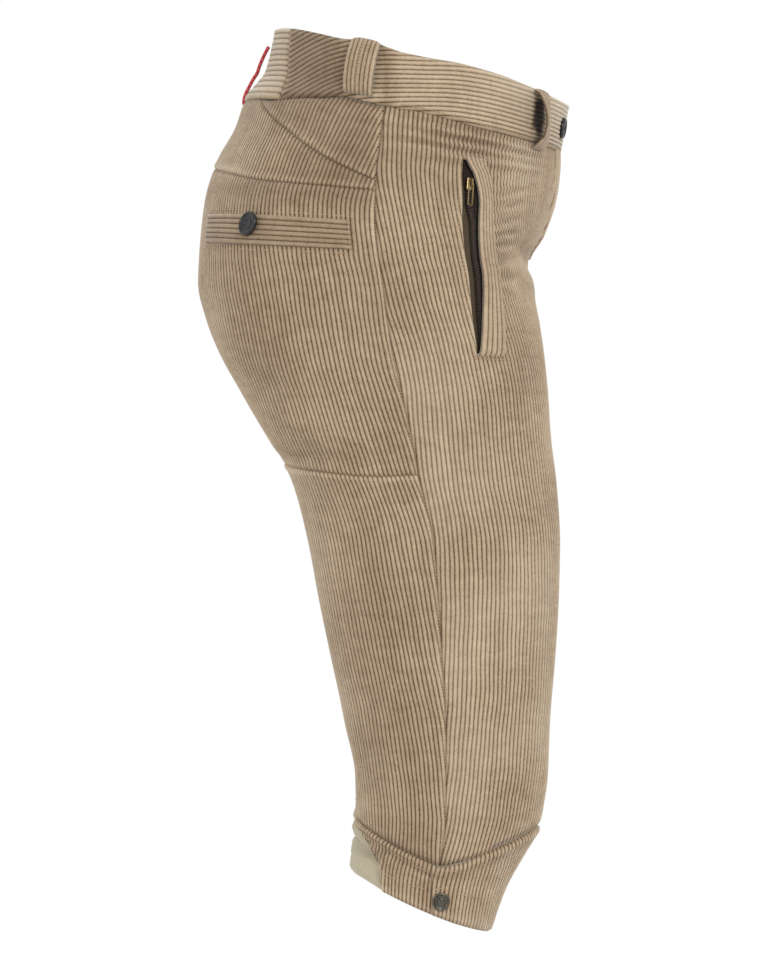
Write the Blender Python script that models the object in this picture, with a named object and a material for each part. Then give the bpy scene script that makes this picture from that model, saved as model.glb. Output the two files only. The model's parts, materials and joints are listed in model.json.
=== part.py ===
"""Women's corduroy knee breeches, filled out as if worn, with no wearer inside.

Metres, +Z up. The front faces -Y and the wearer's right side is at -X. The origin is the centre of the
waist opening. Every panel is a wall of cloth laid on one surface, which the rings in SECTIONS describe.
A ring runs from the centre front round the side to the centre back, and below the crotch on round the
inner leg.
"""

import math

import bmesh
import bpy
import numpy as np
from mathutils import Matrix, Vector

MM = 0.001

# Driving sizes, in millimetres.
CLOTH = 2.2                # corduroy's thickness
BAND = 4.0                 # waistband wall, two layers of corduroy
SEAM_GAP = 0.4             # daylight between two panels at a seam
REST_GAP = 0.3             # daylight under a piece that lies on a panel
LAP_GAP = 0.7              # where both are curved
UNDER_GAP = 0.9            # behind a panel, whose flat facets cut inside its curve
WALE = 4.0                 # pitch of the corduroy's ribs
WALE_HEIGHT = 0.8
BAND_DEPTH = 45.0          # waistband, top edge to seam
HEM_DROP = 671.0
CROTCH_DROP = 240.0

# One row for each ring: how far it lies below the waist, where it meets the front and back profiles, how
# far it reaches outwards, where its frontmost and backmost points lie across the body, how far it reaches
# inwards (below zero it is cut off at the centre line), where the side seam crosses it, how far its sides
# dip, and its roundness (2 is an ellipse, more is squarer).
SECTION_COLUMNS = (
    "drop", "front_y", "front_z", "back_y", "back_z", "outer",
    "centre_f", "centre_b", "inner", "seam_y", "dip", "roundness",
)
SECTIONS = (
    (0.0, -115.5, -30, 120, 28, 138, 0, 0, -138, 32, -1, 2.15),       # top of the waistband
    (36.0, -110, -63, 129, -8, 145, 0, 0, -145, 32, 0, 2.15),
    (BAND_DEPTH, -108.5, -71, 136, -17, 147, 0, 0, -147, 32, 0, 2.15),
    (56.0, -108.5, -80, 145.5, -29, 151, 0, 6, -148, 34, 0, 2.15),    # cloth springs out below the band
    (75.0, -107.5, -94, 154, -53, 159, 0, 12, -146, 36, 0, 2.15),
    (95.0, -105, -110, 168, -79, 167, 0, 18, -140, 39, 0, 2.2),       # belly
    (127.0, -95, -139, 180, -114, 177, 6, 34, -120, 40, 0, 2.35),     # hip
    (160.0, -84, -160, 184, -160, 182, 20, 50, -90, 38, 0, 2.55),     # crease where the thigh begins
    (178.0, -85, -177, 184, -179, 183, 34, 60, -62, 35, 0, 2.5),      # fullest seat
    (209.0, -91, -210, 178, -208, 183, 62, 74, -22, 31, 0, 2.3),
    (CROTCH_DROP, -95, -242, 166, -238, 181, 86, 86, 0, 26, 0, 2.2),
    (275.0, -98, -275, 146, -273, 178, 90, 90, 5, 18, 0, 2.15),
    (306.0, -100, -306, 125, -306, 174, 91, 91, 8, 11, 0, 2.15),
    (338.0, -104, -338, 107, -338, 170, 91, 91, 12, 5, 0, 2.15),
    (386.0, -107, -386, 94, -386, 165, 91, 91, 17, -6, 0, 2.15),
    (434.0, -106, -434, 85, -434, 160, 92, 92, 23, -10, 0, 2.15),
    (482.0, -103, -482, 75, -482, 156, 92, 92, 29, -13, 0, 2.15),
    (530.0, -99, -530, 65, -530, 152, 93, 93, 34, -16, 0, 2.15),
    (578.0, -97, -578, 56, -576, 149, 93, 93, 38, -16, 2, 2.15),
    (600.0, -94, -600, 56, -594, 149, 94, 94, 40, -16, 6, 2.15),
    (625.0, -87, -622, 56, -608, 148, 94, 94, 41, -13, 16, 2.15),     # fold where the leg rests on the cuff
    (640.0, -76, -641, 55, -619, 144, 94, 94, 43, -11, 14, 2.15),     # cuff
    (655.0, -63.5, -664, 56, -634, 143, 94, 94, 44, -8, 9, 2.15),
    (HEM_DROP, -51, -697, 58, -649, 143, 94, 94, 45, -6, 4, 2.15),
)

# Seams, as the drop at which each crosses a place around the ring: 0 is the centre front or inseam, 1 the
# side seam and 2 the centre back or inseam.
SEAM_COLUMNS = ("around", "drop")
BAND_SEAM = ((0.0, BAND_DEPTH), (1.3, BAND_DEPTH), (1.6, 54.0), (2.0, 57.0))
YOKE_UPPER = ((0.99, 104.2), (1.57, 62.6), (1.7, 53.0), (2.0, 35.0))
YOKE_LOWER = ((1.0, 110.8), (1.35, 111.2), (1.6, 106.3), (2.0, 99.0))
THIGH_SEAM = ((1.0, 333.5), (1.1, 335.0), (1.3, 330.0), (1.56, 323.5), (2.0, 318.0))
CUFF_SEAM = (
    (0.0, 617.0), (0.43, 619.0), (0.7, 625.0), (0.88, 632.0), (1.0, 639.0),
    (1.1, 636.0), (1.22, 630.5), (1.37, 626.0), (1.6, 621.0), (2.0, 617.0),
)
TIP_GAP = 0.7              # more room above the upper yoke's narrow end
WEDGE_END = 1.64           # where the upper yoke runs out under the waistband
BAND_BACK_START = 1.6      # side ends of the waistband's back piece
HIP_ROWS = (60, 77, 91, 108)      # drops at which the front has rows of points beside the yoke
SEAT_ROWS = (127, 143, 160, 178, 194, 209, 220, 231, CROTCH_DROP, 256, 277, 306)
LEG_ROWS = (365, 410, 460, 515, 565, 603)
FOLDED_ROWS = (0.4, 0.7, 0.88, 1.0)    # from the last of those to the cuff seam
CUFF_ROWS = (0.28, 0.6, 1.0)           # from the cuff seam to the hem
SEAM_STEP = 0.0012                     # half a seam's gap, as a share of the half ring

# Columns of points: in front, on either side of the pocket's mouth; behind, on either side of the insert.
BEHIND_POCKET, BEFORE_POCKET = 5, 8
OUTER_BACK, INNER_BACK = 7, 6
BAND_INNER_ROWS = 7                    # rows on the waistband's plain inner face

# Soft folds: where each lies from the side seam along the ring (towards the front is positive) and below the
# waist, its half length and half width, how steeply it falls towards the front, and how far it stands in (-)
# or out.
FOLD_COLUMNS = ("along", "drop", "half_length", "half_width", "fall", "height")
FOLDS = (
    (190.0, 161.0, 45.0, 10.0, -0.15, -3.5),     # crease in front of the hip
    (190.0, 181.0, 45.0, 10.0, -0.10, 2.0),
    (95.0, 66.0, 65.0, 6.0, 0.04, -1.4),         # puckers below the waistband
    (90.0, 82.0, 70.0, 6.0, 0.04, -1.2),
    (85.0, 624.0, 75.0, 5.0, -0.12, -3.6),       # leg folded onto the cuff, in front
    (85.0, 632.0, 75.0, 4.0, -0.12, 2.2),
    (-85.0, 622.0, 70.0, 5.0, 0.09, -3.4),       # and behind
    (-85.0, 631.0, 70.0, 4.0, 0.09, 2.0),
    (-95.0, 316.0, 90.0, 8.0, 0.0, -2.2),        # pull along the thigh seam
)

# Slanted zip pocket in front: distances from the side seam, in millimetres, down its length.
POCKET_COLUMNS = ("drop", "mouth_back", "mouth_front", "welt_seam")
POCKET = (
    (77.0, 68.5, 70.0, 88.0),
    (90.0, 70.5, 81.0, 96.0),
    (114.0, 72.7, 88.0, 104.0),
    (171.0, 74.8, 91.5, 109.5),
    (210.0, 71.5, 80.5, 102.0),
    (237.0, 70.0, 71.5, 95.0),
)
WELT_LAP = 5.0             # how far the welt overhangs the panel's cut edge
WELT_THICK = 2.8
POCKET_CLOTH = 1.3
TAPE_THICK = 0.8
SLIDER_DROP = 97.0
SLIDER = {"width": 6.4, "length": 10.5, "thick": 2.8}
PULL = {"length": 20.0, "width": 5.0, "wire": 1.2}

# Welt pocket behind: its ends from the side seam, and its edges' drops at the two ends.
BACK_WELT = {
    "near": -20.5, "far": -170.0, "top": 135.5, "bottom_near": 157.0, "bottom_far": 151.0, "wales": 6,
}
BUTTON = {"radius": 10.0, "thick": 4.2}
WAIST_BUTTON = {"from_front": 36.0, "drop": 26.0, "radius": 8.5}
BACK_BUTTON = {"along": -106.0, "drop": 142.5}

# Belt loops: place along the ring at the top and bottom, width, ends, and how far they stand off the band.
LOOP_COLUMNS = ("top_along", "bottom_along", "width", "top", "bottom", "stand_off")
LOOPS = {
    "side_loop": (-14.5, -23.0, 24.0, 0.0, 43.5, 8.0),
    "front_loop": (140.0, 143.0, 20.0, 0.0, 52.0, 8.5),
}
LOOP_THICK = 2.4

# Strip over the front fastening: its width at the waistband and at its foot.
FLY = {"top": 46.5, "bottom": 158.0, "width": 44.0, "foot": 10.0}

# Stretch insert behind the calf, about its own centre line.
INSERT_COLUMNS = ("drop", "half_around")
INSERT = ((612.0, 0.02), (630.0, 0.09), (642.0, 0.17), (650.0, 0.26), (657.0, 0.30), (HEM_DROP, 0.31))
INSERT_CENTRE = 1.54
INSERT_UNDER = 0.035       # how far it reaches under its neighbours, around the ring
INSERT_PUFF = 8.0          # how far it bulges out between them

VENT_EDGE = -5.0           # the cuff's front half laps over its back half as far as this, from the side seam
VENT_UNDERLAP = 14.0
VENT_SLOPE = 15.0          # over which the front half comes back down to the leg's surface
VENT_CORNER = 2.8          # how far the hidden top corner of the back half is set down
SNAP = {"along": 4.5, "drop": 663.0, "radius": 7.2}

# Hanging loop of red cord at the centre back: height above the band and drop at each point.
CORD_LOOP = {"top": 16.0, "bottom": 55.0, "bow": 7.5, "radius": 1.05}


def smooth(x, y, at):
    """Monotone cubic through the points (x, y), read at the places given."""
    x, y = np.asarray(x, float), np.asarray(y, float)
    width = np.diff(x)
    slope = np.diff(y) / width
    left, right = slope[:-1], slope[1:]
    same = left * right > 0
    mean = np.where(same, 2 * left * right / np.where(same, left + right, 1), 0)
    tangent = np.concatenate([[slope[0]], mean, [slope[-1]]])
    i = np.clip(np.searchsorted(x, at, side="right") - 1, 0, len(x) - 2)
    t = (np.asarray(at, float) - x[i]) / width[i]
    h00, h10 = 2 * t**3 - 3 * t**2 + 1, t**3 - 2 * t**2 + t
    h01, h11 = 3 * t**2 - 2 * t**3, t**3 - t**2
    return h00 * y[i] + h10 * width[i] * tangent[i] + h01 * y[i + 1] + h11 * width[i] * tangent[i + 1]


def section(drop):
    """The ring at a drop, as a dict of its columns."""
    table = np.array(SECTIONS, float)
    return {name: smooth(table[:, 0], table[:, k], drop) for k, name in enumerate(SECTION_COLUMNS)}


def surface(around, drop):
    """Points of the body surface, in millimetres. around is 0 at the centre front or inseam, 1 at the side
    seam and 2 at the centre back or inseam, above zero on the wearer's right and below zero on the left."""
    around, drop = np.broadcast_arrays(np.asarray(around, float), np.asarray(drop, float))
    ring = section(drop)
    n = ring["roundness"]
    mid_y = (ring["front_y"] + ring["back_y"]) / 2
    mid_z = (ring["front_z"] + ring["back_z"]) / 2
    half = (ring["back_y"] - ring["front_y"]) / 2

    def turn(across, forward):
        return np.arctan2(forward, across)

    lift = np.clip((mid_y - ring["seam_y"]) / half, -0.9, 0.9)
    seam = turn((1 - np.abs(lift) ** n) ** (1 / n), lift)
    ends = []
    for centre in (ring["centre_f"], ring["centre_b"]):
        cut = np.clip(centre / np.maximum(centre - ring["inner"], 1e-6), 0, 1)
        ends.append(turn(-cut, (1 - cut**n) ** (1 / n)))
    share = 1 - np.abs(around)
    angle = np.where(share >= 0, seam + share * (ends[0] - seam), seam + share * (ends[1] + seam))
    c, s = np.cos(angle), np.sin(angle)
    reach = (np.abs(c) ** n + np.abs(s) ** n) ** (-1 / n)
    across, forward = reach * c, reach * s
    centre = np.where(s >= 0, ring["centre_f"], ring["centre_b"])
    # The centre moves in smoothly at the side, where the front and back arcs meet.
    x = centre + np.where(c >= 0, ring["outer"] - centre, centre - ring["inner"]) * across
    x = np.maximum(x, SEAM_GAP / 2)
    y = mid_y - forward * half
    z = mid_z + np.where(s >= 0, ring["front_z"] - mid_z, ring["back_z"] - mid_z) * np.abs(forward)
    z = z - ring["dip"] * across**2
    return np.stack([-np.sign(np.where(around == 0, 1, around)) * x, y, z], axis=-1)


def normals(around, drop):
    """Outward unit normals. At the inseam, where around is 0 and 2, both sides share one normal."""
    step_a, step_d = 0.004, 1.0

    def read(a):
        along = surface(np.minimum(a + step_a, 2), drop) - surface(np.maximum(a - step_a, 0), drop)
        down = surface(a, np.minimum(drop + step_d, HEM_DROP)) - surface(a, drop - step_d)
        out = np.cross(along, down)
        return out / np.linalg.norm(out, axis=-1, keepdims=True)

    out = read(around)
    at_inseam = (np.abs(around - 1) > 0.985) & (drop >= CROTCH_DROP)
    out = np.where(at_inseam[..., None], out + read(2 - around), out)
    return out / np.linalg.norm(out, axis=-1, keepdims=True)


def side_distance(around, drop):
    """Distance along the ring from the side seam, in millimetres, towards the front positive."""
    grid = np.linspace(0, 1, 41)
    flat_a, flat_d = np.abs(np.ravel(around)), np.ravel(drop)
    paths = surface(1 + (flat_a[:, None] - 1) * grid[None, :], flat_d[:, None] + 0 * grid[None, :])
    length = np.linalg.norm(np.diff(paths, axis=1), axis=-1).sum(axis=1)
    return (length * np.sign(1 - flat_a)).reshape(np.shape(around))


def fold_height(around, drop):
    """How far the folds lift the cloth off the surface."""
    along = side_distance(around, drop)
    height = np.zeros(np.shape(along))
    for fold in FOLDS:
        f = dict(zip(FOLD_COLUMNS, fold))
        reach = along - f["along"]
        off = drop - f["drop"] + f["fall"] * reach
        height += f["height"] * np.exp(-(reach / f["half_length"]) ** 2 - (off / f["half_width"]) ** 2)
    return height


def at_distance(along, drop, right=True):
    """The value of around that lies this far from the side seam along the ring."""
    grid = np.linspace(0, 2, 401)
    found = []
    for s, d in zip(np.ravel(along), np.ravel(drop)):
        points = surface(grid, d)
        length = np.concatenate([[0], np.cumsum(np.linalg.norm(np.diff(points, axis=0), axis=-1))])
        from_seam = np.interp(1, grid, length) - length
        found.append(np.interp(-s, -from_seam, grid))
    found = np.array(found).reshape(np.shape(along))
    return found if right else -found


def lifted(around, drop, height):
    """Points at a height above the cloth's surface, on the right side."""
    around, drop = np.broadcast_arrays(np.asarray(around, float), np.asarray(drop, float))
    total = np.asarray(height, float) + fold_height(around, drop)
    points = surface(around, drop) + normals(around, drop) * total[..., None]
    points[..., 0] = np.minimum(points[..., 0], -SEAM_GAP / 2)
    return points


def mirrored(points):
    return points * np.array([-1.0, 1.0, 1.0])


# ---------------------------------------------------------------- meshes

def add_object(name, vertices, faces, material, smooth_angle=40.0):
    """One closed mesh from points in millimetres, with its faces turned outwards."""
    mesh = bpy.data.meshes.new(name)
    mesh.from_pydata([tuple(v * MM for v in p) for p in vertices], [], faces)
    work = bmesh.new()
    work.from_mesh(mesh)
    bmesh.ops.recalc_face_normals(work, faces=work.faces)
    work.to_mesh(mesh)
    work.free()
    mesh.shade_smooth()
    mesh.set_sharp_from_angle(angle=math.radians(smooth_angle))
    mesh.materials.append(material)
    obj = bpy.data.objects.new(name, mesh)
    bpy.context.scene.collection.objects.link(obj)
    return obj


def halves(quad, points):
    """Two triangles, split along the shorter diagonal."""
    a, b, c, d = quad
    if np.linalg.norm(points[a] - points[c]) <= np.linalg.norm(points[b] - points[d]):
        return [a, b, c], [a, c, d]
    return [a, b, d], [b, c, d]


def wall(name, outer, inner, material, holes=()):
    """A wall between two grids of points. holes are (row, column) cells left open."""
    rows, columns = outer.shape[:2]
    vertices = list(outer.reshape(-1, 3)) + list(inner.reshape(-1, 3))
    behind = rows * columns
    open_cells = set(holes)

    def corner(r, c):
        return r * columns + c

    def present(r, c):
        return 0 <= r < rows - 1 and 0 <= c < columns - 1 and (r, c) not in open_cells

    faces = []
    for r in range(rows - 1):
        for c in range(columns - 1):
            if not present(r, c):
                continue
            quad = [corner(r, c), corner(r, c + 1), corner(r + 1, c + 1), corner(r + 1, c)]
            for triangle in halves(quad, vertices):
                faces.append(triangle)
                faces.append([behind + i for i in reversed(triangle)])
            for k, (dr, dc) in enumerate(((-1, 0), (0, 1), (1, 0), (0, -1))):
                if not present(r + dr, c + dc):
                    a, b = quad[k], quad[(k + 1) % 4]
                    faces.append([b, a, behind + a, behind + b])
    used = sorted({i for face in faces for i in face})
    index = {old: new for new, old in enumerate(used)}
    return add_object(name, [vertices[i] for i in used], [[index[i] for i in f] for f in faces], material)


def ribbed_strip(name, outer, inner, material):
    """A strip whose outer grid (ribs x length) has more points across than its plain inner grid."""
    ribs, length = outer.shape[:2]
    plain = inner.shape[0]
    vertices = list(outer.reshape(-1, 3)) + list(inner.reshape(-1, 3))
    behind = ribs * length
    faces = []
    for grid, count, start in ((outer, ribs, 0), (inner, plain, behind)):
        for r in range(count - 1):
            for c in range(length - 1):
                quad = [start + r * length + c, start + r * length + c + 1,
                        start + (r + 1) * length + c + 1, start + (r + 1) * length + c]
                faces.append(quad if start == 0 else quad[::-1])
    for edge, back in ((0, 0), (ribs - 1, plain - 1)):
        for c in range(length - 1):
            a, b = edge * length + c, edge * length + c + 1
            p, q = behind + back * length + c, behind + back * length + c + 1
            faces.append([b, a, p, q] if edge == 0 else [a, b, q, p])
    for c in (0, length - 1):
        rim = [r * length + c for r in range(ribs)]
        rim += [behind + r * length + c for r in reversed(range(plain))]
        faces.append(rim if c == 0 else rim[::-1])
    return add_object(name, vertices, faces, material)


def wale_heights(count, per_wale=2):
    """Positions across a ribbed strip from 0 to 1, and the height of the rib at each."""
    steps = count * per_wale
    place = np.arange(steps + 1) / steps
    return place, WALE_HEIGHT * np.where(np.arange(steps + 1) % per_wale == 0, 0.0, 1.0)


def turned(name, profile, centre, normal, material, segments=18, up=Vector((0, 0, 1))):
    """A solid turned from (radius, height) points about an axis along normal."""
    work = bmesh.new()
    rings = []
    for radius, height in profile:
        if radius == 0:
            rings.append([work.verts.new((0, 0, height * MM))])
        else:
            rings.append([
                work.verts.new((radius * MM * math.cos(t), radius * MM * math.sin(t), height * MM))
                for t in (2 * math.pi * k / segments for k in range(segments))
            ])
    for low, high in zip(rings, rings[1:]):
        for k in range(segments):
            corners = [low[k % len(low)], low[(k + 1) % len(low)],
                       high[(k + 1) % len(high)], high[k % len(high)]]
            work.faces.new(list(dict.fromkeys(corners)))
    bmesh.ops.recalc_face_normals(work, faces=work.faces)
    mesh = bpy.data.meshes.new(name)
    work.to_mesh(mesh)
    work.free()
    mesh.shade_smooth()
    mesh.set_sharp_from_angle(angle=math.radians(35))
    mesh.materials.append(material)
    obj = bpy.data.objects.new(name, mesh)
    bpy.context.scene.collection.objects.link(obj)
    obj.matrix_world = frame_at(centre, normal, up)
    return obj


def frame_at(centre, normal, up):
    """A matrix whose z is normal and whose y lies along up, at a point in millimetres."""
    z = Vector(normal).normalized()
    x = Vector(up).cross(z).normalized()
    y = z.cross(x)
    return Matrix.Translation(Vector(centre) * MM) @ Matrix((x, y, z)).transposed().to_4x4()


def material(name, colour, roughness, metallic=0.0):
    made = bpy.data.materials.new(name)
    made.use_nodes = True
    shader = made.node_tree.nodes["Principled BSDF"]
    shader.inputs["Base Color"].default_value = (*colour, 1.0)
    shader.inputs["Roughness"].default_value = roughness
    shader.inputs["Metallic"].default_value = metallic
    return made


# ---------------------------------------------------------------- panels

def seam(table):
    """The drop of a seam as a function of the place around the ring."""
    points = np.array(table, float)
    return lambda a: smooth(points[:, 0], points[:, 1], np.asarray(a, float))


def level(value):
    return lambda a: np.full(np.shape(a), float(value))


def shifted(line, amount):
    return lambda a: line(a) + amount


def mixed(upper, lower, share):
    return lambda a: upper(a) + (lower(a) - upper(a)) * share


def grid_of(lines, columns):
    """Places for a panel: one row for each line, with the columns that a function gives for that line.
    Panels that share a seam take the same columns there, so that their edges run side by side."""
    around = [columns(line) for line in lines]
    return np.array(around), np.array([line(row) for line, row in zip(lines, around)])


def sided(points, side):
    return points if side == "right" else mirrored(points)


def panel(name, side, around, drop, cloth, holes=(), height=0.0, thick=CLOTH):
    """A wall of cloth over a grid of places."""
    outer = sided(lifted(around, drop, height), side)
    inner = sided(lifted(around, drop, height - thick), side)
    return wall(f"{name}_{side}", outer, inner, cloth, holes)


def strip(name, side, around, drop, height, thick, cloth, inner_rows=3):
    """A ribbed strip over a grid of places whose rows run across the ribs."""
    outer = sided(lifted(around, drop, height), side)
    rows = np.linspace(0, len(around) - 1, inner_rows).round().astype(int)
    base = np.min(height, axis=0) if np.ndim(height) else height
    inner = sided(lifted(around[rows], drop[rows], base - thick), side)
    return ribbed_strip(f"{name}_{side}", outer, inner, cloth)


def pocket_lines(drop):
    table = np.array(POCKET)
    return {name: smooth(table[:, 0], table[:, k], drop) for k, name in enumerate(POCKET_COLUMNS)}


def in_pocket(drop):
    return POCKET[0][0] <= drop < POCKET[-1][0]


def front_lines():
    """The front panel's rows, from the waistband seam to the cuff seam."""
    band, cuff = seam(BAND_SEAM), seam(CUFF_SEAM)
    levels = HIP_ROWS + SEAT_ROWS + (THIGH_SEAM[0][1],) + LEG_ROWS
    lines = [shifted(band, SEAM_GAP / 2)] + [level(v) for v in levels]
    last = level(levels[-1])
    lines += [mixed(last, shifted(cuff, -SEAM_GAP / 2), share) for share in FOLDED_ROWS]
    return lines


def front_columns(line):
    """Side seam to the pocket's back edge, then from under its welt to the centre front or inseam."""
    drop = float(line(1.0))
    edges = pocket_lines(np.clip(drop, POCKET[0][0], POCKET[-1][0]))
    cut = at_distance([edges["mouth_back"], edges["mouth_front"] + WELT_LAP], [drop, drop])
    behind = np.linspace(1 - SEAM_STEP, cut[0], BEHIND_POCKET)
    before = cut[1] + (SEAM_STEP - cut[1]) * np.linspace(0, 1, BEFORE_POCKET)
    return np.concatenate([behind, before])


def front_panel(side, cloth):
    """Side seam to centre front and inseam, waistband seam to cuff, with the pocket's mouth cut through."""
    lines = front_lines()
    around, drop = grid_of(lines, front_columns)
    holes = [(r, BEHIND_POCKET - 1) for r in range(len(lines) - 1) if in_pocket(drop[r, 0])]
    panel("front_leg", side, around, drop, cloth, holes)


def insert_half(drop):
    table = np.array(INSERT)
    return smooth(table[:, 0], table[:, 1], np.clip(drop, table[0, 0], table[-1, 0]))


def back_columns(line):
    """Side seam to the stretch insert's centre line and on to the centre back or inseam."""
    half = insert_half(line(INSERT_CENTRE))
    outer = np.linspace(1 + SEAM_STEP, INSERT_CENTRE - half, OUTER_BACK)
    inner = np.linspace(INSERT_CENTRE + half, 2 - SEAM_STEP, INNER_BACK)
    return np.concatenate([outer, inner])


def yoke_panels(side, cloth):
    band, upper, lower = seam(BAND_SEAM), seam(YOKE_UPPER), seam(YOKE_LOWER)

    def top_of_lower(a):
        return np.maximum(upper(a), band(a))

    def wedge_columns(line):
        return np.append(back_columns(line)[:OUTER_BACK + 1], WEDGE_END)

    def under_band(a):
        return band(a) + SEAM_GAP / 2 + TIP_GAP * np.clip((a - 1.4) / 0.1, 0, 1)

    above_yoke = shifted(upper, -SEAM_GAP / 2)
    wedge = [mixed(under_band, above_yoke, share) for share in (0, 0.3, 0.65, 1)]
    panel("yoke_upper", side, *grid_of(wedge, wedge_columns), cloth)
    shaped = [shifted(top_of_lower, SEAM_GAP / 2)]
    shaped += [mixed(top_of_lower, lower, share) for share in (0.33, 0.66)]
    shaped += [shifted(lower, -SEAM_GAP / 2)]
    panel("yoke_lower", side, *grid_of(shaped, back_columns), cloth)


def seat_panel(side, cloth):
    lower, thigh = seam(YOKE_LOWER), seam(THIGH_SEAM)
    lines = [shifted(lower, SEAM_GAP / 2)] + [level(v) for v in SEAT_ROWS]
    lines += [shifted(thigh, -SEAM_GAP / 2)]
    panel("seat", side, *grid_of(lines, back_columns), cloth)


def back_leg(side, cloth):
    """Thigh seam to cuff seam, notched at the bottom for the stretch insert."""
    thigh, cuff = seam(THIGH_SEAM), seam(CUFF_SEAM)
    lines = [shifted(thigh, SEAM_GAP / 2)] + [level(v) for v in LEG_ROWS]
    last = level(LEG_ROWS[-1])
    lines += [mixed(last, shifted(cuff, -SEAM_GAP / 2), share) for share in FOLDED_ROWS]
    around, drop = grid_of(lines, back_columns)
    notch = OUTER_BACK - 1
    rows = [r for r in range(len(lines) - 1) if drop[r, notch] >= LEG_ROWS[-1]]
    panel("back_leg", side, around, drop, cloth, [(r, notch) for r in rows])


def cuff_lines():
    cuff, hem = seam(CUFF_SEAM), level(HEM_DROP)
    return [shifted(cuff, SEAM_GAP / 2)] + [mixed(cuff, hem, share) for share in CUFF_ROWS]


def cuffs(side, cloth):
    """Front half lapping over the back at the side vent; the back half is parted by the stretch insert."""
    lines = cuff_lines()

    def at_side(line, along):
        return float(at_distance([along], [line(1.0)])[0])

    def front(line):
        return np.insert(front_columns(line), 0, at_side(line, VENT_EDGE))

    def outer(line):
        return np.insert(back_columns(line)[:OUTER_BACK], 0, at_side(line, VENT_UNDERLAP))

    def inner(line):
        return back_columns(line)[OUTER_BACK:]

    around, drop = grid_of(lines, front)
    share = np.clip((side_distance(around, drop) - VENT_UNDERLAP - 4) / VENT_SLOPE, 0, 1)
    raised = (CLOTH + UNDER_GAP + REST_GAP) * (1 - share)
    panel("cuff_front", side, around, drop, cloth, height=raised)
    around, drop = grid_of(lines, outer)
    drop[0, 0] += VENT_CORNER
    panel("cuff_back_outer", side, around, drop, cloth)
    panel("cuff_back_inner", side, *grid_of(lines, inner), cloth)


def calf_insert(side, knit):
    cuff = seam(CUFF_SEAM)
    lines = [level(LEG_ROWS[-1])]
    lines += [mixed(lines[0], cuff, share) for share in FOLDED_ROWS]
    lines += [mixed(cuff, level(HEM_DROP), share) for share in CUFF_ROWS]

    def columns(line):
        half = insert_half(line(INSERT_CENTRE))
        inside = np.linspace(-half, half, 7)
        return INSERT_CENTRE + np.concatenate([[-half - INSERT_UNDER], inside, [half + INSERT_UNDER]])

    around, drop = grid_of(lines, columns)
    half = insert_half(drop)
    across = (around - INSERT_CENTRE) / half
    puff = INSERT_PUFF * np.clip(1 - across**2, 0, 1) ** 1.5 * np.clip(half / 0.2 - 0.1, 0, 1)
    panel("calf_insert", side, around, drop, knit, height=puff - CLOTH - UNDER_GAP, thick=1.6)


def band_grid(columns, wales):
    seam_line = seam(BAND_SEAM)
    place, ribs = wale_heights(wales)
    around = np.array([columns] * len(place))
    drop = place[:, None] * seam_line(around)
    return around, drop, ribs[:, None] + np.zeros(around.shape)


def waistband(cloth):
    """Two fronts that meet at the centre front, and one piece across the back."""
    proud = BAND - CLOTH
    wales = 11
    below = seam(BAND_SEAM)
    front, back = front_columns(below)[:0:-1], back_columns(below)[1:OUTER_BACK]
    columns = np.concatenate([front, [1.0], back, [BAND_BACK_START - 2 * SEAM_STEP]])
    for side in ("right", "left"):
        around, drop, ribs = band_grid(columns, wales)
        strip("waistband", side, around, drop, proud + ribs, BAND, cloth, inner_rows=BAND_INNER_ROWS)
    columns = np.append(np.linspace(BAND_BACK_START + 2 * SEAM_STEP, 1.93, 5), 2.0)
    around, drop, ribs = band_grid(columns, wales)
    half = lifted(around, drop, proud + ribs)
    inner_rows = np.linspace(0, len(around) - 1, BAND_INNER_ROWS).round().astype(int)
    inner = lifted(around[inner_rows], drop[inner_rows], proud - BAND)
    for grid in (half, inner):
        grid[:, -1, 0] = 0.0
    outer = np.concatenate([half, mirrored(half)[:, -2::-1]], axis=1)
    inner = np.concatenate([inner, mirrored(inner)[:, -2::-1]], axis=1)
    ribbed_strip("waistband_back", outer, inner, cloth)


def laid_strip(name, side, lines, wales, lengths, base, thick, cloth, extra=None):
    """A ribbed strip on a panel. lines maps a place on its length to (along, drop) at its two edges."""
    place, ribs = wale_heights(wales)
    around = np.zeros((len(place), len(lengths)))
    drop = np.zeros_like(around)
    for c, share in enumerate(lengths):
        (along_a, drop_a), (along_b, drop_b) = lines(share)
        drop[:, c] = drop_a + (drop_b - drop_a) * place
        around[:, c] = at_distance(along_a + (along_b - along_a) * place, drop[:, c])
    rise = np.zeros(len(lengths)) if extra is None else np.array([extra(share) for share in lengths])
    height = base + thick + ribs[:, None] + rise[None, :]
    return strip(name, side, around, drop, height, thick, cloth)


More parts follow.
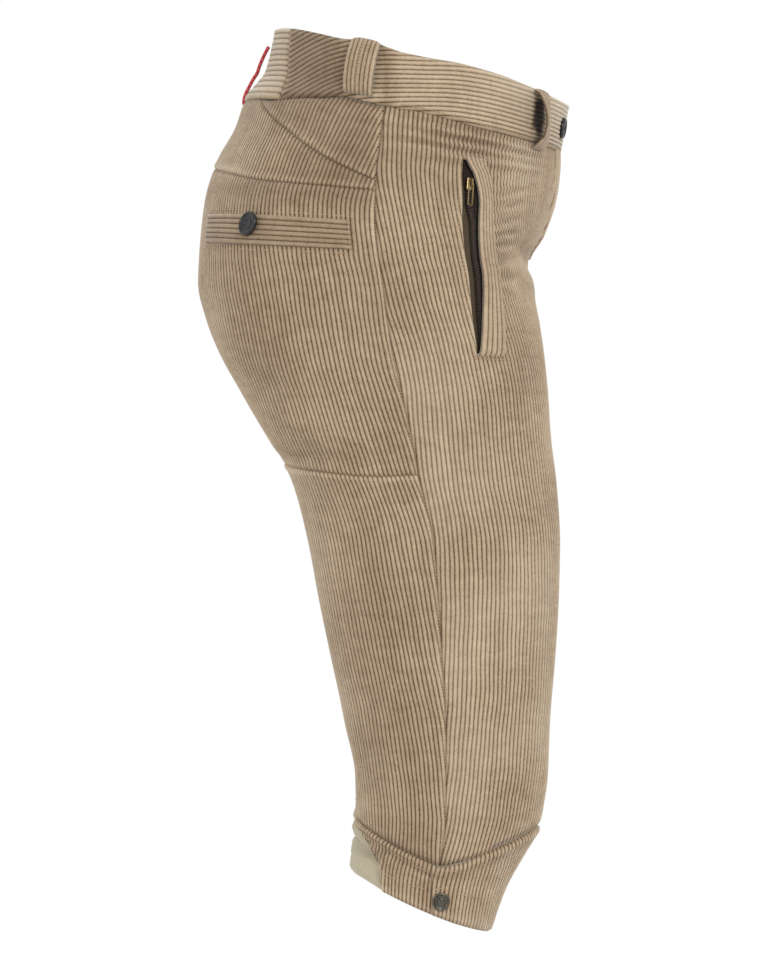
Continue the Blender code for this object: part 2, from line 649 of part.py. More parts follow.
def pocket_parts(side, cloth, lining, tape):
    """Welt in front of the mouth, the pocket's cloth behind it and the zip's tape."""
    top, bottom = POCKET[0][0], POCKET[-1][0]

    def welt(drop):
        edges = pocket_lines(np.clip(drop, top, bottom))
        return (edges["mouth_front"], drop), (edges["welt_seam"], drop)

    inside = [v for v in HIP_ROWS + SEAT_ROWS if top <= v <= bottom]
    ends = [top - 2] + inside + [bottom + 2]
    laid_strip("pocket_welt", side, welt, 5, ends, LAP_GAP, WELT_THICK, cloth)

    drops = np.array([top - 4] + inside + [bottom + 3], float)
    edges = pocket_lines(np.clip(drops, top, bottom))
    for name, low, high, height, thick, mat, columns in (
        ("zip_tape", (edges["mouth_back"] + edges["mouth_front"]) / 2 - 3, edges["mouth_front"] + 9,
         -CLOTH - UNDER_GAP, TAPE_THICK, tape, 4),
        ("pocket_inside", edges["mouth_back"] - 9, edges["mouth_front"] + 14,
         -CLOTH - UNDER_GAP - LAP_GAP - TAPE_THICK, POCKET_CLOTH, lining, 4),
    ):
        share = np.linspace(0, 1, columns)
        along = low[:, None] + (high - low)[:, None] * share
        drop = drops[:, None] + 0 * along
        panel(name, side, at_distance(along, drop), drop, mat, height=height, thick=thick)


def back_pocket(side, cloth):
    w = BACK_WELT

    def lines(share):
        along = w["near"] + (w["far"] - w["near"]) * share
        bottom = w["bottom_near"] + (w["bottom_far"] - w["bottom_near"]) * share
        return (along, w["top"]), (along, bottom)

    lengths = np.linspace(0, 1, 11)
    laid_strip("back_pocket_welt", side, lines, w["wales"], lengths, LAP_GAP, WELT_THICK, cloth)


def belt_loops(side, cloth):
    for name, row in LOOPS.items():
        f = dict(zip(LOOP_COLUMNS, row))

        def lines(share, f=f):
            along = f["top_along"] + (f["bottom_along"] - f["top_along"]) * share
            drop = f["top"] + (f["bottom"] - f["top"]) * share
            half = f["width"] / 2
            return (along - half, drop), (along + half, drop)

        wales = round(f["width"] / WALE)
        base = BAND - CLOTH + WALE_HEIGHT + REST_GAP
        foot = LAP_GAP - base if f["bottom"] > BAND_DEPTH else 0.0

        def arch(share, f=f, foot=foot):
            if share == 0:
                return -WALE_HEIGHT
            return foot if share == 1 else f["stand_off"] * min(1.0, math.sin(math.pi * share) * 1.6)

        laid_strip(name, side, lines, wales, np.linspace(0, 1, 9), base, LOOP_THICK, cloth, arch)


def fly(cloth):
    """Strip over the front fastening, on the wearer's right, its ribs along the front edge."""
    top, bottom = FLY["top"], FLY["bottom"]
    drops = [top] + [v for v in HIP_ROWS + SEAT_ROWS if top < v < bottom] + [bottom]

    def lines(drop):
        share = (drop - top) / (bottom - top)
        front = float(side_distance(np.array([2 * SEAM_STEP]), np.array([drop]))[0])
        width = FLY["foot"] + (FLY["width"] - FLY["foot"]) * math.sqrt(max(0.0, 1 - share**2.4))
        return (front, drop), (front - width, drop)

    laid_strip("fly", "right", lines, 9, drops, LAP_GAP, CLOTH, cloth)


# ---------------------------------------------------------------- hard pieces

def place_at(along, drop, height, side):
    """A point above the cloth, and the directions out of the cloth and up along it."""
    around = at_distance([along], [drop])
    step = 1.5
    here = lifted(around, np.array([drop]), height)[0]
    above = lifted(around, np.array([drop - step]), height)[0]
    out = normals(around, np.array([float(drop)]))[0]
    up = above - here
    if side == "left":
        here, out, up = (v * np.array([-1.0, 1.0, 1.0]) for v in (here, out, up))
    return Vector(here), Vector(out), Vector(up)


def button_profile(radius, thick):
    """A button's half section: raised rim round a dished middle."""
    shape = (
        (0, 0), (0.84, 0), (1, 0.45), (0.93, 1), (0.78, 0.96), (0.7, 0.7), (0.3, 0.68), (0, 0.8),
    )
    return [(radius * out, thick * up) for out, up in shape]


def buttons(horn):
    rib = BAND - CLOTH + WALE_HEIGHT
    drop = WAIST_BUTTON["drop"]
    front = float(side_distance(np.array([0.001]), np.array([drop]))[0])
    # The band's flat facets lie inside its curve, which leaves the gap under this button.
    place = place_at(front - WAIST_BUTTON["from_front"], drop, rib, "right")
    profile = button_profile(WAIST_BUTTON["radius"], BUTTON["thick"])
    turned("waist_button", profile, *place[:2], horn, up=place[2])
    profile = button_profile(BUTTON["radius"], BUTTON["thick"])
    for side in ("right", "left"):
        height = LAP_GAP + WELT_THICK + WALE_HEIGHT + 2 * REST_GAP
        place = place_at(BACK_BUTTON["along"], BACK_BUTTON["drop"], height, side)
        turned(f"back_pocket_button_{side}", profile, *place[:2], horn, up=place[2])


def snaps(metal):
    for side in ("right", "left"):
        place = place_at(SNAP["along"], SNAP["drop"], CLOTH + UNDER_GAP + 2 * REST_GAP, side)
        r = SNAP["radius"]
        profile = (
            (0, 0), (r * 0.9, 0), (r, 0.8), (r * 0.9, 2.1), (r * 0.72, 1.6), (r * 0.5, 1.4), (r * 0.38, 2.0),
            (0, 2.3),
        )
        turned(f"cuff_snap_{side}", profile, *place[:2], metal, up=place[2])


def box_mesh(name, size, centre, material_used):
    work = bmesh.new()
    bmesh.ops.create_cube(work, size=1.0)
    for vert in work.verts:
        vert.co = Vector(centre[k] + vert.co[k] * size[k] for k in range(3)) * MM
    mesh = bpy.data.meshes.new(name)
    work.to_mesh(mesh)
    work.free()
    mesh.materials.append(material_used)
    obj = bpy.data.objects.new(name, mesh)
    bpy.context.scene.collection.objects.link(obj)
    return obj


def prism(name, outline, width, material_used):
    """A flat outline in the (y, z) plane, drawn out across x."""
    work = bmesh.new()
    ends = [[work.verts.new(Vector((x, y, z)) * MM) for y, z in outline] for x in (-width / 2, width / 2)]
    work.faces.new(ends[0])
    work.faces.new(ends[1][::-1])
    for k in range(len(outline)):
        j = (k + 1) % len(outline)
        work.faces.new((ends[0][j], ends[0][k], ends[1][k], ends[1][j]))
    bmesh.ops.recalc_face_normals(work, faces=work.faces)
    mesh = bpy.data.meshes.new(name)
    work.to_mesh(mesh)
    work.free()
    mesh.materials.append(material_used)
    obj = bpy.data.objects.new(name, mesh)
    bpy.context.scene.collection.objects.link(obj)
    return obj


def zip_slider(side, metal):
    """Slider with a hook that traps the pull's bar, and the wire pull on the hinge through that bar."""
    edges = pocket_lines(SLIDER_DROP)
    along = (edges["mouth_back"] + edges["mouth_front"]) / 2
    centre, out, up = place_at(along, SLIDER_DROP, REST_GAP - CLOTH - UNDER_GAP, side)
    at = frame_at(centre, out, up)
    thick = SLIDER["thick"]
    size = (SLIDER["width"], SLIDER["length"], thick)
    body = box_mesh(f"zip_slider_{side}", size, (0, 0, thick / 2), metal)
    body.matrix_world = at
    bevel = body.modifiers.new("rounded", "BEVEL")
    bevel.width = 0.9 * MM
    bevel.segments = 2
    wire, room = PULL["wire"], 0.35
    bar_y, bar_z = 1.0, thick + room + wire / 2
    low, high = thick - 0.5, thick + 2 * room + wire
    # The hook's side view: up from the body in front of the bar, over it and down behind it.
    hook = prism("hook", (
        (bar_y + 3.6, low), (bar_y + 3.0, high + 0.6), (bar_y + 1.8, high + 1.1),
        (bar_y - 1.6, high + 1.1), (bar_y - 2.4, high + 0.3), (bar_y - 2.4, thick + room),
        (bar_y - 1.3, thick + room), (bar_y - 1.3, high), (bar_y + 1.3, high), (bar_y + 1.3, low),
    ), 1.4, metal)
    hook.matrix_world = at
    hook.hide_render = True
    hook.display_type = "WIRE"
    union = body.modifiers.new("hook", "BOOLEAN")
    union.operation = "UNION"
    union.solver = "EXACT"
    union.object = hook

    pull = bpy.data.curves.new(f"zip_pull_{side}", "CURVE")
    pull.dimensions = "3D"
    pull.bevel_depth = wire / 2 * MM
    pull.bevel_resolution = 1
    half, length, bend = (PULL["width"] - wire) / 2, PULL["length"] - wire, 1.2
    points = []
    for cx, cy, start in (
        (half - bend, -bend, 0), (-half + bend, -bend, 90),
        (-half + bend, bend - length, 180), (half - bend, bend - length, 270),
    ):
        for k in range(4):
            turn = math.radians(start + 30 * k)
            points.append((cx + bend * math.cos(turn), cy + bend * math.sin(turn)))
    spline = pull.splines.new("POLY")
    spline.points.add(len(points) - 1)
    for point, (x, y) in zip(spline.points, points):
        point.co = (x * MM, y * MM, 0, 1)
    spline.use_cyclic_u = True
    pull.materials.append(metal)
    obj = bpy.data.objects.new(f"zip_pull_{side}", pull)
    bpy.context.scene.collection.objects.link(obj)
    obj.matrix_world = at @ Matrix.Translation(Vector((0, bar_y, bar_z)) * MM)


def cord_loop(red):
    """Bow of cord sewn to the waistband's back piece at its two ends."""
    f = CORD_LOOP
    shares = np.linspace(0, 1, 17)
    drop = f["top"] + (f["bottom"] - f["top"]) * shares
    lift = BAND - CLOTH + WALE_HEIGHT + REST_GAP + f["radius"] + f["bow"] * np.sin(math.pi * shares)
    around = np.full(len(shares), 2.0)
    points = surface(around, drop) + normals(around, drop) * lift[:, None]
    points[:, 0] = 0
    curve = bpy.data.curves.new("hanging_loop", "CURVE")
    curve.dimensions = "3D"
    curve.bevel_depth = f["radius"] * MM
    curve.bevel_resolution = 2
    curve.use_fill_caps = True
    spline = curve.splines.new("POLY")
    spline.points.add(len(points) - 1)
    for point, place in zip(spline.points, points):
        point.co = (*(v * MM for v in place), 1)
    curve.materials.append(red)
    obj = bpy.data.objects.new("hanging_loop", curve)
    bpy.context.scene.collection.objects.link(obj)


def main():
    for obj in list(bpy.data.objects):
        bpy.data.objects.remove(obj)
    cloth = material("corduroy", (0.42, 0.31, 0.21), 0.9)
    knit = material("stretch_knit", (0.43, 0.38, 0.27), 0.95)
    lining = material("pocket_cloth", (0.09, 0.08, 0.06), 0.9)
    tape = material("zip_tape", (0.07, 0.045, 0.03), 0.8)
    horn = material("button", (0.036, 0.034, 0.031), 0.3)
    metal = material("gunmetal", (0.16, 0.14, 0.12), 0.35, 0.9)
    red = material("red_cord", (0.55, 0.06, 0.07), 0.8)
    waistband(cloth)
    fly(cloth)
    for side in ("right", "left"):
        front_panel(side, cloth)
        yoke_panels(side, cloth)
        seat_panel(side, cloth)
        back_leg(side, cloth)
        cuffs(side, cloth)
        calf_insert(side, knit)
        pocket_parts(side, cloth, lining, tape)
        back_pocket(side, cloth)
        belt_loops(side, cloth)
        zip_slider(side, metal)
    buttons(horn)
    snaps(metal)
    cord_loop(red)


main()
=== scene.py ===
"""Dresses the corduroy breeches: ribbed cloth, seams, stitching, zips, buttons, cord and knit.

Lengths are in millimetres. Shapes are worked out for the wearer's right side and mirrored for the left."""

import json
import math

import bpy
import numpy as np
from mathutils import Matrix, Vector

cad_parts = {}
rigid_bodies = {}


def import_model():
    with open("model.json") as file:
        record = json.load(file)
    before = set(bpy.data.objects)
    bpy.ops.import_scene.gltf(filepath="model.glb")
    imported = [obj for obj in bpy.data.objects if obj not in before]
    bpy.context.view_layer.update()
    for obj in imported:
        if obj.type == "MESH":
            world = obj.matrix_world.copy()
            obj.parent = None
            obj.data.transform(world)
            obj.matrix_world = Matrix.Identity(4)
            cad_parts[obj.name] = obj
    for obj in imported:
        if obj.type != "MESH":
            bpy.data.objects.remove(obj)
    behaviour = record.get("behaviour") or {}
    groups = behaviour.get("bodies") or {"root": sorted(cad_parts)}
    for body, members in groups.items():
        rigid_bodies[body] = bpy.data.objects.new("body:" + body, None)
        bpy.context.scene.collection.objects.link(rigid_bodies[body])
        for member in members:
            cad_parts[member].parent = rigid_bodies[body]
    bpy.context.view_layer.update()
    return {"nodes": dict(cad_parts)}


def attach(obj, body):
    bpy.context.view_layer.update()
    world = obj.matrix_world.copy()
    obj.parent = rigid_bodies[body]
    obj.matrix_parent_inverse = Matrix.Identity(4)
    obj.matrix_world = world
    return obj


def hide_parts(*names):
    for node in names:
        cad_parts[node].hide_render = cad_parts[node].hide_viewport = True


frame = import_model()

BODY = "breeches"
BOTH = ("right", "left")
MM = 0.001
HEM_DROP, CROTCH_DROP = 671, 240.0
BAND = 4.0                 # the waistband's two layers
SEAM_GAP = 0.04            # between the two sides at the middle
SIDE = 0.2                 # half the gap between two panels at a seam
TUCK = 1.6                 # how far a panel reaches under its neighbour at a seam
WALL = 1.6                 # a panel's thickness under its ribs
FRONT_CENTRE, BACK_CENTRE = 0.0002, 1.9998
FAR = 99.0                 # a distance beyond every edge's reach
RIB = 0.95                 # height of a rib over the groove
RIB_MIDDLE = 0.55          # the part of a rib that lies below the cloth's own surface
PROFILE = ((0.0, 0.0), (0.14, 0.72), (0.36, 1.0), (0.64, 1.0), (0.86, 0.72))

# One row for each ring: how far it lies below the waist, its front and back profiles, its reach outwards, its
# centres and its reach inwards, where the side seam crosses it, how far its sides dip, and its roundness.
SECTION_COLUMNS = (
    "drop", "front_y", "front_z", "back_y", "back_z", "outer",
    "centre_f", "centre_b", "inner", "seam_y", "dip", "roundness",
)
SECTIONS = (
    (0, -115.5, -30, 120, 28, 138, 0, 0, -138, 32, -1, 2.15),
    (36, -110, -63, 129, -8, 145, 0, 0, -145, 32, 0, 2.15),
    (45, -108.5, -71, 136, -17, 147, 0, 0, -147, 32, 0, 2.15),
    (56, -108.5, -80, 145.5, -29, 151, 0, 6, -148, 34, 0, 2.15),
    (75, -107.5, -94, 154, -53, 159, 0, 12, -146, 36, 0, 2.15),
    (95, -105, -110, 168, -79, 167, 0, 18, -140, 39, 0, 2.2),
    (127, -95, -139, 178, -114, 177, 6, 34, -120, 40, 0, 2.35),
    (160, -84, -160, 182, -160, 182, 20, 50, -90, 38, 0, 2.55),
    (178, -85, -177, 182.5, -179, 183, 34, 60, -62, 35, 0, 2.5),
    (209, -91, -210, 176, -208, 183, 62, 74, -22, 31, 0, 2.3),
    (CROTCH_DROP, -95, -242, 164, -238, 181, 86, 86, 0, 26, 0, 2.2),
    (275, -98, -275, 144.5, -273, 178, 90, 90, 5, 18, 0, 2.15),
    (306, -100, -306, 125, -306, 174, 91, 91, 8, 11, 0, 2.15),
    (338, -104, -338, 107, -338, 170, 91, 91, 12, 5, 0, 2.15),
    (386, -107, -386, 94, -386, 165, 91, 91, 17, -6, 0, 2.15),
    (434, -106, -434, 85, -434, 160, 92, 92, 23, -10, 0, 2.15),
    (482, -103, -482, 75, -482, 156, 92, 92, 29, -13, 0, 2.15),
    (530, -99, -530, 65, -530, 152, 93, 93, 34, -16, 0, 2.15),
    (578, -97, -578, 56, -576, 149, 93, 93, 38, -16, 2, 2.15),
    (600, -94, -600, 56, -594, 149, 94, 94, 40, -16, 6, 2.15),
    (625, -87, -622, 56, -608, 148, 94, 94, 41, -13, 16, 2.15),
    (640, -76, -641, 55, -619, 144, 94, 94, 43, -11, 14, 2.15),
    (655, -63.5, -664, 56, -634, 143, 94, 94, 44, -8, 9, 2.15),
    (HEM_DROP, -51, -698.5, 58, -651.5, 143, 94, 94, 45, -6, 4, 2.15),
)

# Seams: (place round the ring, drop). The place is 0 at the centre front or inseam, 1 at the side seam and 2
# at the centre back or inseam.
BAND_SEAM = (
    (0, 46), (0.6, 47.5), (0.85, 45.5), (1, 47), (1.17, 46), (1.3, 49), (1.48, 52.8), (1.6, 56),
    (2, 58),
)
YOKE_UPPER = ((0.99, 104.2), (1.57, 62.6), (1.7, 53), (2, 35))
YOKE_LOWER = ((1, 110.8), (1.35, 111.2), (1.6, 106.3), (2, 99))
THIGH_SEAM = ((1, 333.5), (1.1, 335), (1.3, 330), (1.56, 323.5), (2, 318))
CUFF_SEAM = (
    (0, 613), (0.43, 615), (0.6, 617.5), (0.73, 621.5), (0.84, 627.5), (0.92, 634), (1, 639.5),
    (1.1, 636), (1.22, 630.5), (1.37, 626), (1.6, 621), (2, 617),
)
# The waistband's top edge is worn into a slight wave: (place round the waist, how far it dips).
BAND_TOP = (
    (0, 2.6), (0.2, 4.2), (0.43, 2.4), (0.6, 0.2), (0.7, 0.2), (0.85, 2.4), (0.95, 3), (1.03, 0.8),
    (1.13, 0.6), (1.25, 2.4), (1.38, 1.5), (1.6, 0.3), (2, 0),
)
BAND_JOIN = 1.6            # where the waistband's side and back pieces meet
WEDGE_END = 1.64           # where the upper yoke runs out under the waistband

# Folds: (distance from the side seam, drop, half length, half width, fall towards the front, height).
FOLDS = (
    (190, 161, 45, 10, -0.15, -3.5),
    (190, 181, 45, 10, -0.10, 2),
    (95, 66, 65, 7, 0.03, -1.2),
    (90, 83, 70, 6, 0.04, -1),
    (-115, 321, 75, 6, -0.03, -1.3),
    # puckers under the waistband
    (78, 52.5, 75, 2.6, 0, -0.8),
    (84, 57, 66, 2.8, 0.01, 1),
    (80, 61.5, 70, 2.6, 0.01, -0.8),
    (88, 66.5, 62, 3, 0.02, 1),
    (80, 71.5, 70, 2.8, 0.02, -0.8),
    (94, 77, 56, 3.2, 0.03, 0.9),
    (85, 86, 60, 3.4, 0.03, 0.4),
    (40, 57, 26, 2.8, 0, -0.5),
    (36, 70, 26, 3, 0.03, -0.6),
    # ripples beside the pocket's welt
    (128, 98, 18, 3, 0.25, -1),
    (124, 110, 17, 3, 0.2, -1.1),
    (126, 122, 18, 3.2, 0.25, -1.3),
    (124, 135, 18, 3.4, 0.2, -1.4),
    (124, 149, 18, 3.4, 0.15, -1.4),
    (122, 164, 20, 3.6, 0.1, -1.3),
    (118, 180, 20, 3.6, 0.05, -1.1),
    # creases under the cuff's seam, behind the side seam
    (-40, 641.5, 34, 2.2, -0.2, -0.9),
    (-42, 646, 34, 2.4, -0.2, 0.6),
    # broad, shallow hollows down the leg and over the seat
    (60, 250, 60, 16, 0.25, -0.9),
    (40, 470, 60, 20, 0.2, -0.8),
    (-60, 520, 60, 18, -0.2, -0.7),
    (70, 590, 60, 12, -0.1, -0.8),
    (-60, 590, 50, 11, 0.15, -0.8),
    (-110, 268, 60, 13, -0.15, -1),
    (-80, 300, 60, 9, -0.08, 0.8),
    # creases running in from the inside of the thigh, front and back
    (250, 262, 60, 9, 0.3, -2.2),
    (262, 282, 55, 9, 0.3, -1.6),
    (-300, 268, 60, 9, -0.3, -2.2),
    (-290, 290, 55, 9, -0.25, -1.6),
)
# The groove along the cuff's seam and the puffed edge below it: (distance below, half width, height).
CUFF_ROLL = ((0, 2.6, -1.3), (4.8, 3.8, 1.3))
# Where the cloth has shrunk into waves and its ribs zigzag: (distance from the side seam, drop, half sizes,
# wave length, sideways throw).
CRIMPS = (
    (119, 142, 20, 48, 10.5, 1.8),
    (95, 66, 50, 14, 11, 0.8),
    (150, 90, 24, 22, 9, 0.5),
    (60, 640, 50, 10, 9, 0.3),
)

# Where the grain line of a panel's cloth lies from the side seam: (drop, distance).
FRONT_GRAIN = (
    (45, -4), (95, 0), (145, 9), (190, 13), (245, 20), (320, 12), (440, 5), (500, 0), (530, -3.5),
    (570, -6), (620, -12), (690, -19),
)
YOKE_GRAIN = ((20, 8), (60, -9), (80, -17), (100, -24), (120, -30))
SEAT_GRAIN = ((90, -45), (127, -54), (190, -52.5), (255, -51.5), (345, -42))
LEG_GRAIN = (
    (310, -53), (360, -46), (400, -43.5), (430, -40), (510, -29.5), (560, -22), (610, -17), (690, -10),
)
CUFF_GRAIN = ((600, 1), (640, 0.5), (680, -1))
# How far apart the ribs lie: (drop, pitch).
FRONT_PITCH = ((45, 3.85), (300, 3.75), (560, 3.5), (660, 3.25))
YOKE_PITCH = ((20, 4.05), (120, 3.65))
BACK_PITCH = ((45, 3.8), (330, 3.75), (600, 3.4), (680, 3.25))
CUFF_PITCH = ((600, 3.4), (680, 3.3))

POCKET_COLUMNS = ("drop", "mouth_back", "mouth_front", "welt_seam")
POCKET = (
    (77, 68.5, 70, 88),
    (90, 70, 80.5, 95.5),
    (114, 71.8, 87, 101),
    (171, 72.8, 86.4, 105),
    (210, 70.8, 79, 101),
    (237, 70, 71.5, 95),
)
POCKET_TOP, POCKET_BOTTOM = POCKET[0][0], POCKET[-1][0]
WELT_LAP = 5.0             # how far the front leg reaches under the pocket's welt
BACK_WELT = {"near": -20.5, "far": -170, "top": 135.5, "bottom_near": 157, "bottom_far": 151.0}
FLY = {"top": 45, "bottom": 158, "width": 44, "foot": 10.0}
# The cuff's front edge over its back half: (drop, distance from the side seam).
VENT = ((610, -8), (641, -6.4), (670, -1.6), (680, -1))
VENT_UNDERLAP = 14.0       # how far the back half reaches under it
# Half the knit insert's width, as a part of the ring: (drop, half width).
INSERT = ((612, 0.03), (626, 0.09), (634, 0.14), (640, 0.18), (645, 0.24), (650, 0.28), (671, 0.30))
INSERT_CENTRE = 1.54
INSERT_UNDER = 0.035       # how far it reaches under the leg and cuff, as a part of the ring
CALF_RING = 190.0          # length of the ring from the side seam to the inseam at the calf
# Belt loops: where the top and the foot lie from the side seam, width, top, bottom, how far they stand off,
# how far the foot settles, ribs, twist, and height of the stitching.
LOOPS = {
    "side_loop": (-14.5, -23, 24, -0.5, 43.5, 7, 0, 7, 1.2, 5.6),
    "front_loop": (141, 147, 17, 2.6, 53, 7.5, -1.5, 4, -9, 4.2),
}


# ---------------------------------------------------------------- numbers

def spread(*values):
    """The values as arrays of one shape."""
    return np.broadcast_arrays(*(np.asarray(v, float) for v in values))


def bump(x, middle, half_width):
    return np.exp(-(((x - middle) / half_width) ** 2))


def ramp(x, start, end):
    """0 up to the start and 1 from the end on, whichever of the two is larger."""
    return np.clip((x - start) / (end - start), 0, 1)


def between(a, b, share):
    return a + (b - a) * share


def unit(vectors):
    return vectors / np.linalg.norm(vectors, axis=-1, keepdims=True)


def run_length(points):
    """How far along a row of points each of them lies."""
    return np.concatenate([[0], np.cumsum(np.linalg.norm(np.diff(points, axis=0), axis=-1))])


def smooth(x, y, at):
    """Monotone cubic through the points (x, y), read at the places given."""
    width = np.diff(x)
    slope = np.diff(y) / width
    left, right = slope[:-1], slope[1:]
    same = left * right > 0
    mean = np.where(same, 2 * left * right / np.where(same, left + right, 1), 0)
    tangent = np.concatenate([[slope[0]], mean, [slope[-1]]])
    i = np.clip(np.searchsorted(x, at, side="right") - 1, 0, len(x) - 2)
    t = (at - x[i]) / width[i]
    h00, h10 = 2 * t**3 - 3 * t**2 + 1, t**3 - 2 * t**2 + t
    h01, h11 = 3 * t**2 - 2 * t**3, t**3 - t**2
    return h00 * y[i] + h10 * width[i] * tangent[i] + h01 * y[i + 1] + h11 * width[i] * tangent[i + 1]


def line_of(table, column=1, held=False):
    """Smooth line through one column of a table over its first, held level beyond its ends if asked."""
    x, y = np.array(table, float)[:, (0, column)].T
    return lambda at: smooth(x, y, np.clip(at, x[0], x[-1]) if held else np.asarray(at, float))


def pocket_edge(name):
    return line_of(POCKET, POCKET_COLUMNS.index(name), held=True)


band_seam, cuff_seam, thigh_seam = line_of(BAND_SEAM), line_of(CUFF_SEAM), line_of(THIGH_SEAM)
upper_yoke, lower_yoke, band_top = line_of(YOKE_UPPER), line_of(YOKE_LOWER), line_of(BAND_TOP)
mouth_back, mouth_front, welt_seam = (pocket_edge(name) for name in POCKET_COLUMNS[1:])
insert_half = line_of(INSERT, held=True)
ring_lines = {name: line_of(SECTIONS, k) for k, name in enumerate(SECTION_COLUMNS)}


# ---------------------------------------------------------------- the body surface

def surface(around, drop):
    """Points of the body surface at places round the rings, 0 to 2, and drops below the waist."""
    around, drop = spread(around, drop)
    ring = {name: line(drop) for name, line in ring_lines.items()}
    n = ring["roundness"]
    mid_y = (ring["front_y"] + ring["back_y"]) / 2
    mid_z = (ring["front_z"] + ring["back_z"]) / 2
    half = (ring["back_y"] - ring["front_y"]) / 2
    lift = np.clip((mid_y - ring["seam_y"]) / half, -0.9, 0.9)
    seam = np.arctan2(lift, (1 - np.abs(lift) ** n) ** (1 / n))
    ends = []
    for centre in (ring["centre_f"], ring["centre_b"]):
        cut = np.clip(centre / np.maximum(centre - ring["inner"], 1e-6), 0, 1)
        ends.append(np.arctan2((1 - cut**n) ** (1 / n), -cut))
    share = 1 - around
    angle = np.where(share >= 0, seam + share * (ends[0] - seam), seam + share * (ends[1] + seam))
    c, s = np.cos(angle), np.sin(angle)
    reach = (np.abs(c) ** n + np.abs(s) ** n) ** (-1 / n)
    across, forward = reach * c, reach * s
    centre = np.where(s >= 0, ring["centre_f"], ring["centre_b"])
    x = centre + np.where(c >= 0, ring["outer"] - centre, centre - ring["inner"]) * across
    x = np.maximum(x, SEAM_GAP / 2)
    y = mid_y - forward * half
    z = mid_z + np.where(s >= 0, ring["front_z"] - mid_z, ring["back_z"] - mid_z) * np.abs(forward)
    return np.stack([-x, y, z - ring["dip"] * across**2], axis=-1)


def normals(around, drop):
    """Outward unit normals, shared by both sides of the inseam."""
    step_a, step_d = 0.004, 1.0

    def read(a):
        along = surface(np.minimum(a + step_a, 2), drop) - surface(np.maximum(a - step_a, 0), drop)
        down = surface(a, np.minimum(drop + step_d, HEM_DROP)) - surface(a, drop - step_d)
        return unit(np.cross(along, down))

    out = read(around)
    at_inseam = (np.abs(around - 1) > 0.985) & (drop >= CROTCH_DROP)
    return unit(np.where(at_inseam[..., None], out + read(2 - around), out))


# Lookup between places round a ring and distances from the side seam.
DROP_STEP = 4.0
DROPS = np.arange(-DROP_STEP, 684.0, DROP_STEP)
STEPS = 400
SHARES = np.linspace(0, 1, STEPS + 1)


def rings(end):
    """For each ring, the distances from the side seam of evenly spaced places, and the reverse."""
    run = np.array([run_length(row) for row in surface(between(1, end, SHARES)[None, :], DROPS[:, None])])
    return run, np.array([np.interp(SHARES * row[-1], row, SHARES) for row in run])


(RUN_FRONT, SHARE_FRONT), (RUN_BACK, SHARE_BACK) = rings(0.0), rings(2.0)


def looked_up(table, drop, share):
    i = np.clip((drop - DROPS[0]) / DROP_STEP, 0, len(DROPS) - 1.001)
    j = np.clip(share * STEPS, 0, STEPS - 0.001)
    i0, j0 = i.astype(int), j.astype(int)
    fi, fj = i - i0, j - j0
    top = table[i0, j0] * (1 - fj) + table[i0, j0 + 1] * fj
    low = table[i0 + 1, j0] * (1 - fj) + table[i0 + 1, j0 + 1] * fj
    return top * (1 - fi) + low * fi


def distance(around, drop):
    """Distance from the side seam along the ring, towards the front positive."""
    around, drop = spread(around, drop)
    front, back = looked_up(RUN_FRONT, drop, 1 - around), looked_up(RUN_BACK, drop, around - 1)
    return np.where(around <= 1, front, -back)


def place(along, drop):
    """The place round the ring that lies this far from the side seam."""
    along, drop = spread(along, drop)
    end = 1.0 + 0 * drop
    front = looked_up(SHARE_FRONT, drop, np.clip(along / looked_up(RUN_FRONT, drop, end), 0, 1))
    back = looked_up(SHARE_BACK, drop, np.clip(-along / looked_up(RUN_BACK, drop, end), 0, 1))
    return np.where(along >= 0, 1 - front, 1 + back)


def folds(along, drop):
    """Height of the creases over the smooth surface."""
    along, drop = spread(along, drop)
    below = drop - cuff_seam(place(along, drop))
    height = sum(rise * bump(below, middle, half) for middle, half, rise in CUFF_ROLL)
    for at, below, half_length, half_width, fall, rise in FOLDS:
        reach = along - at
        height = height + rise * bump(reach, 0, half_length) * bump(drop + fall * reach, below, half_width)
    return height


def lifted(along, drop, height=0.0):
    """Points above the cloth's surface, from distances and drops."""
    along, drop = spread(along, drop)
    around = place(along, drop)
    total = np.asarray(height, float) + folds(along, drop)
    points = surface(around, drop) + normals(around, drop) * total[..., None]
    at_middle = (np.minimum(around, 2 - around) < 0.001) & (drop <= CROTCH_DROP)
    points[..., 0] = np.where(at_middle, -SEAM_GAP / 2, np.minimum(points[..., 0], -SEAM_GAP / 2))
    return points


def ribs(wale):
    """Height of the ribs, from 0 in the groove to 1 on top, where wale counts ribs."""
    at, height = np.array(PROFILE + ((1.0, 0.0),)).T
    return np.interp(wale - np.floor(wale), at, height)


def wale_columns(first, last):
    """The corners of each rib's section, rib by rib."""
    return (np.arange(first, last)[:, None] + np.array(PROFILE)[:, 0]).ravel()


# ---------------------------------------------------------------- meshes

def mirrored(points):
    return points * np.array([-1.0, 1.0, 1.0])


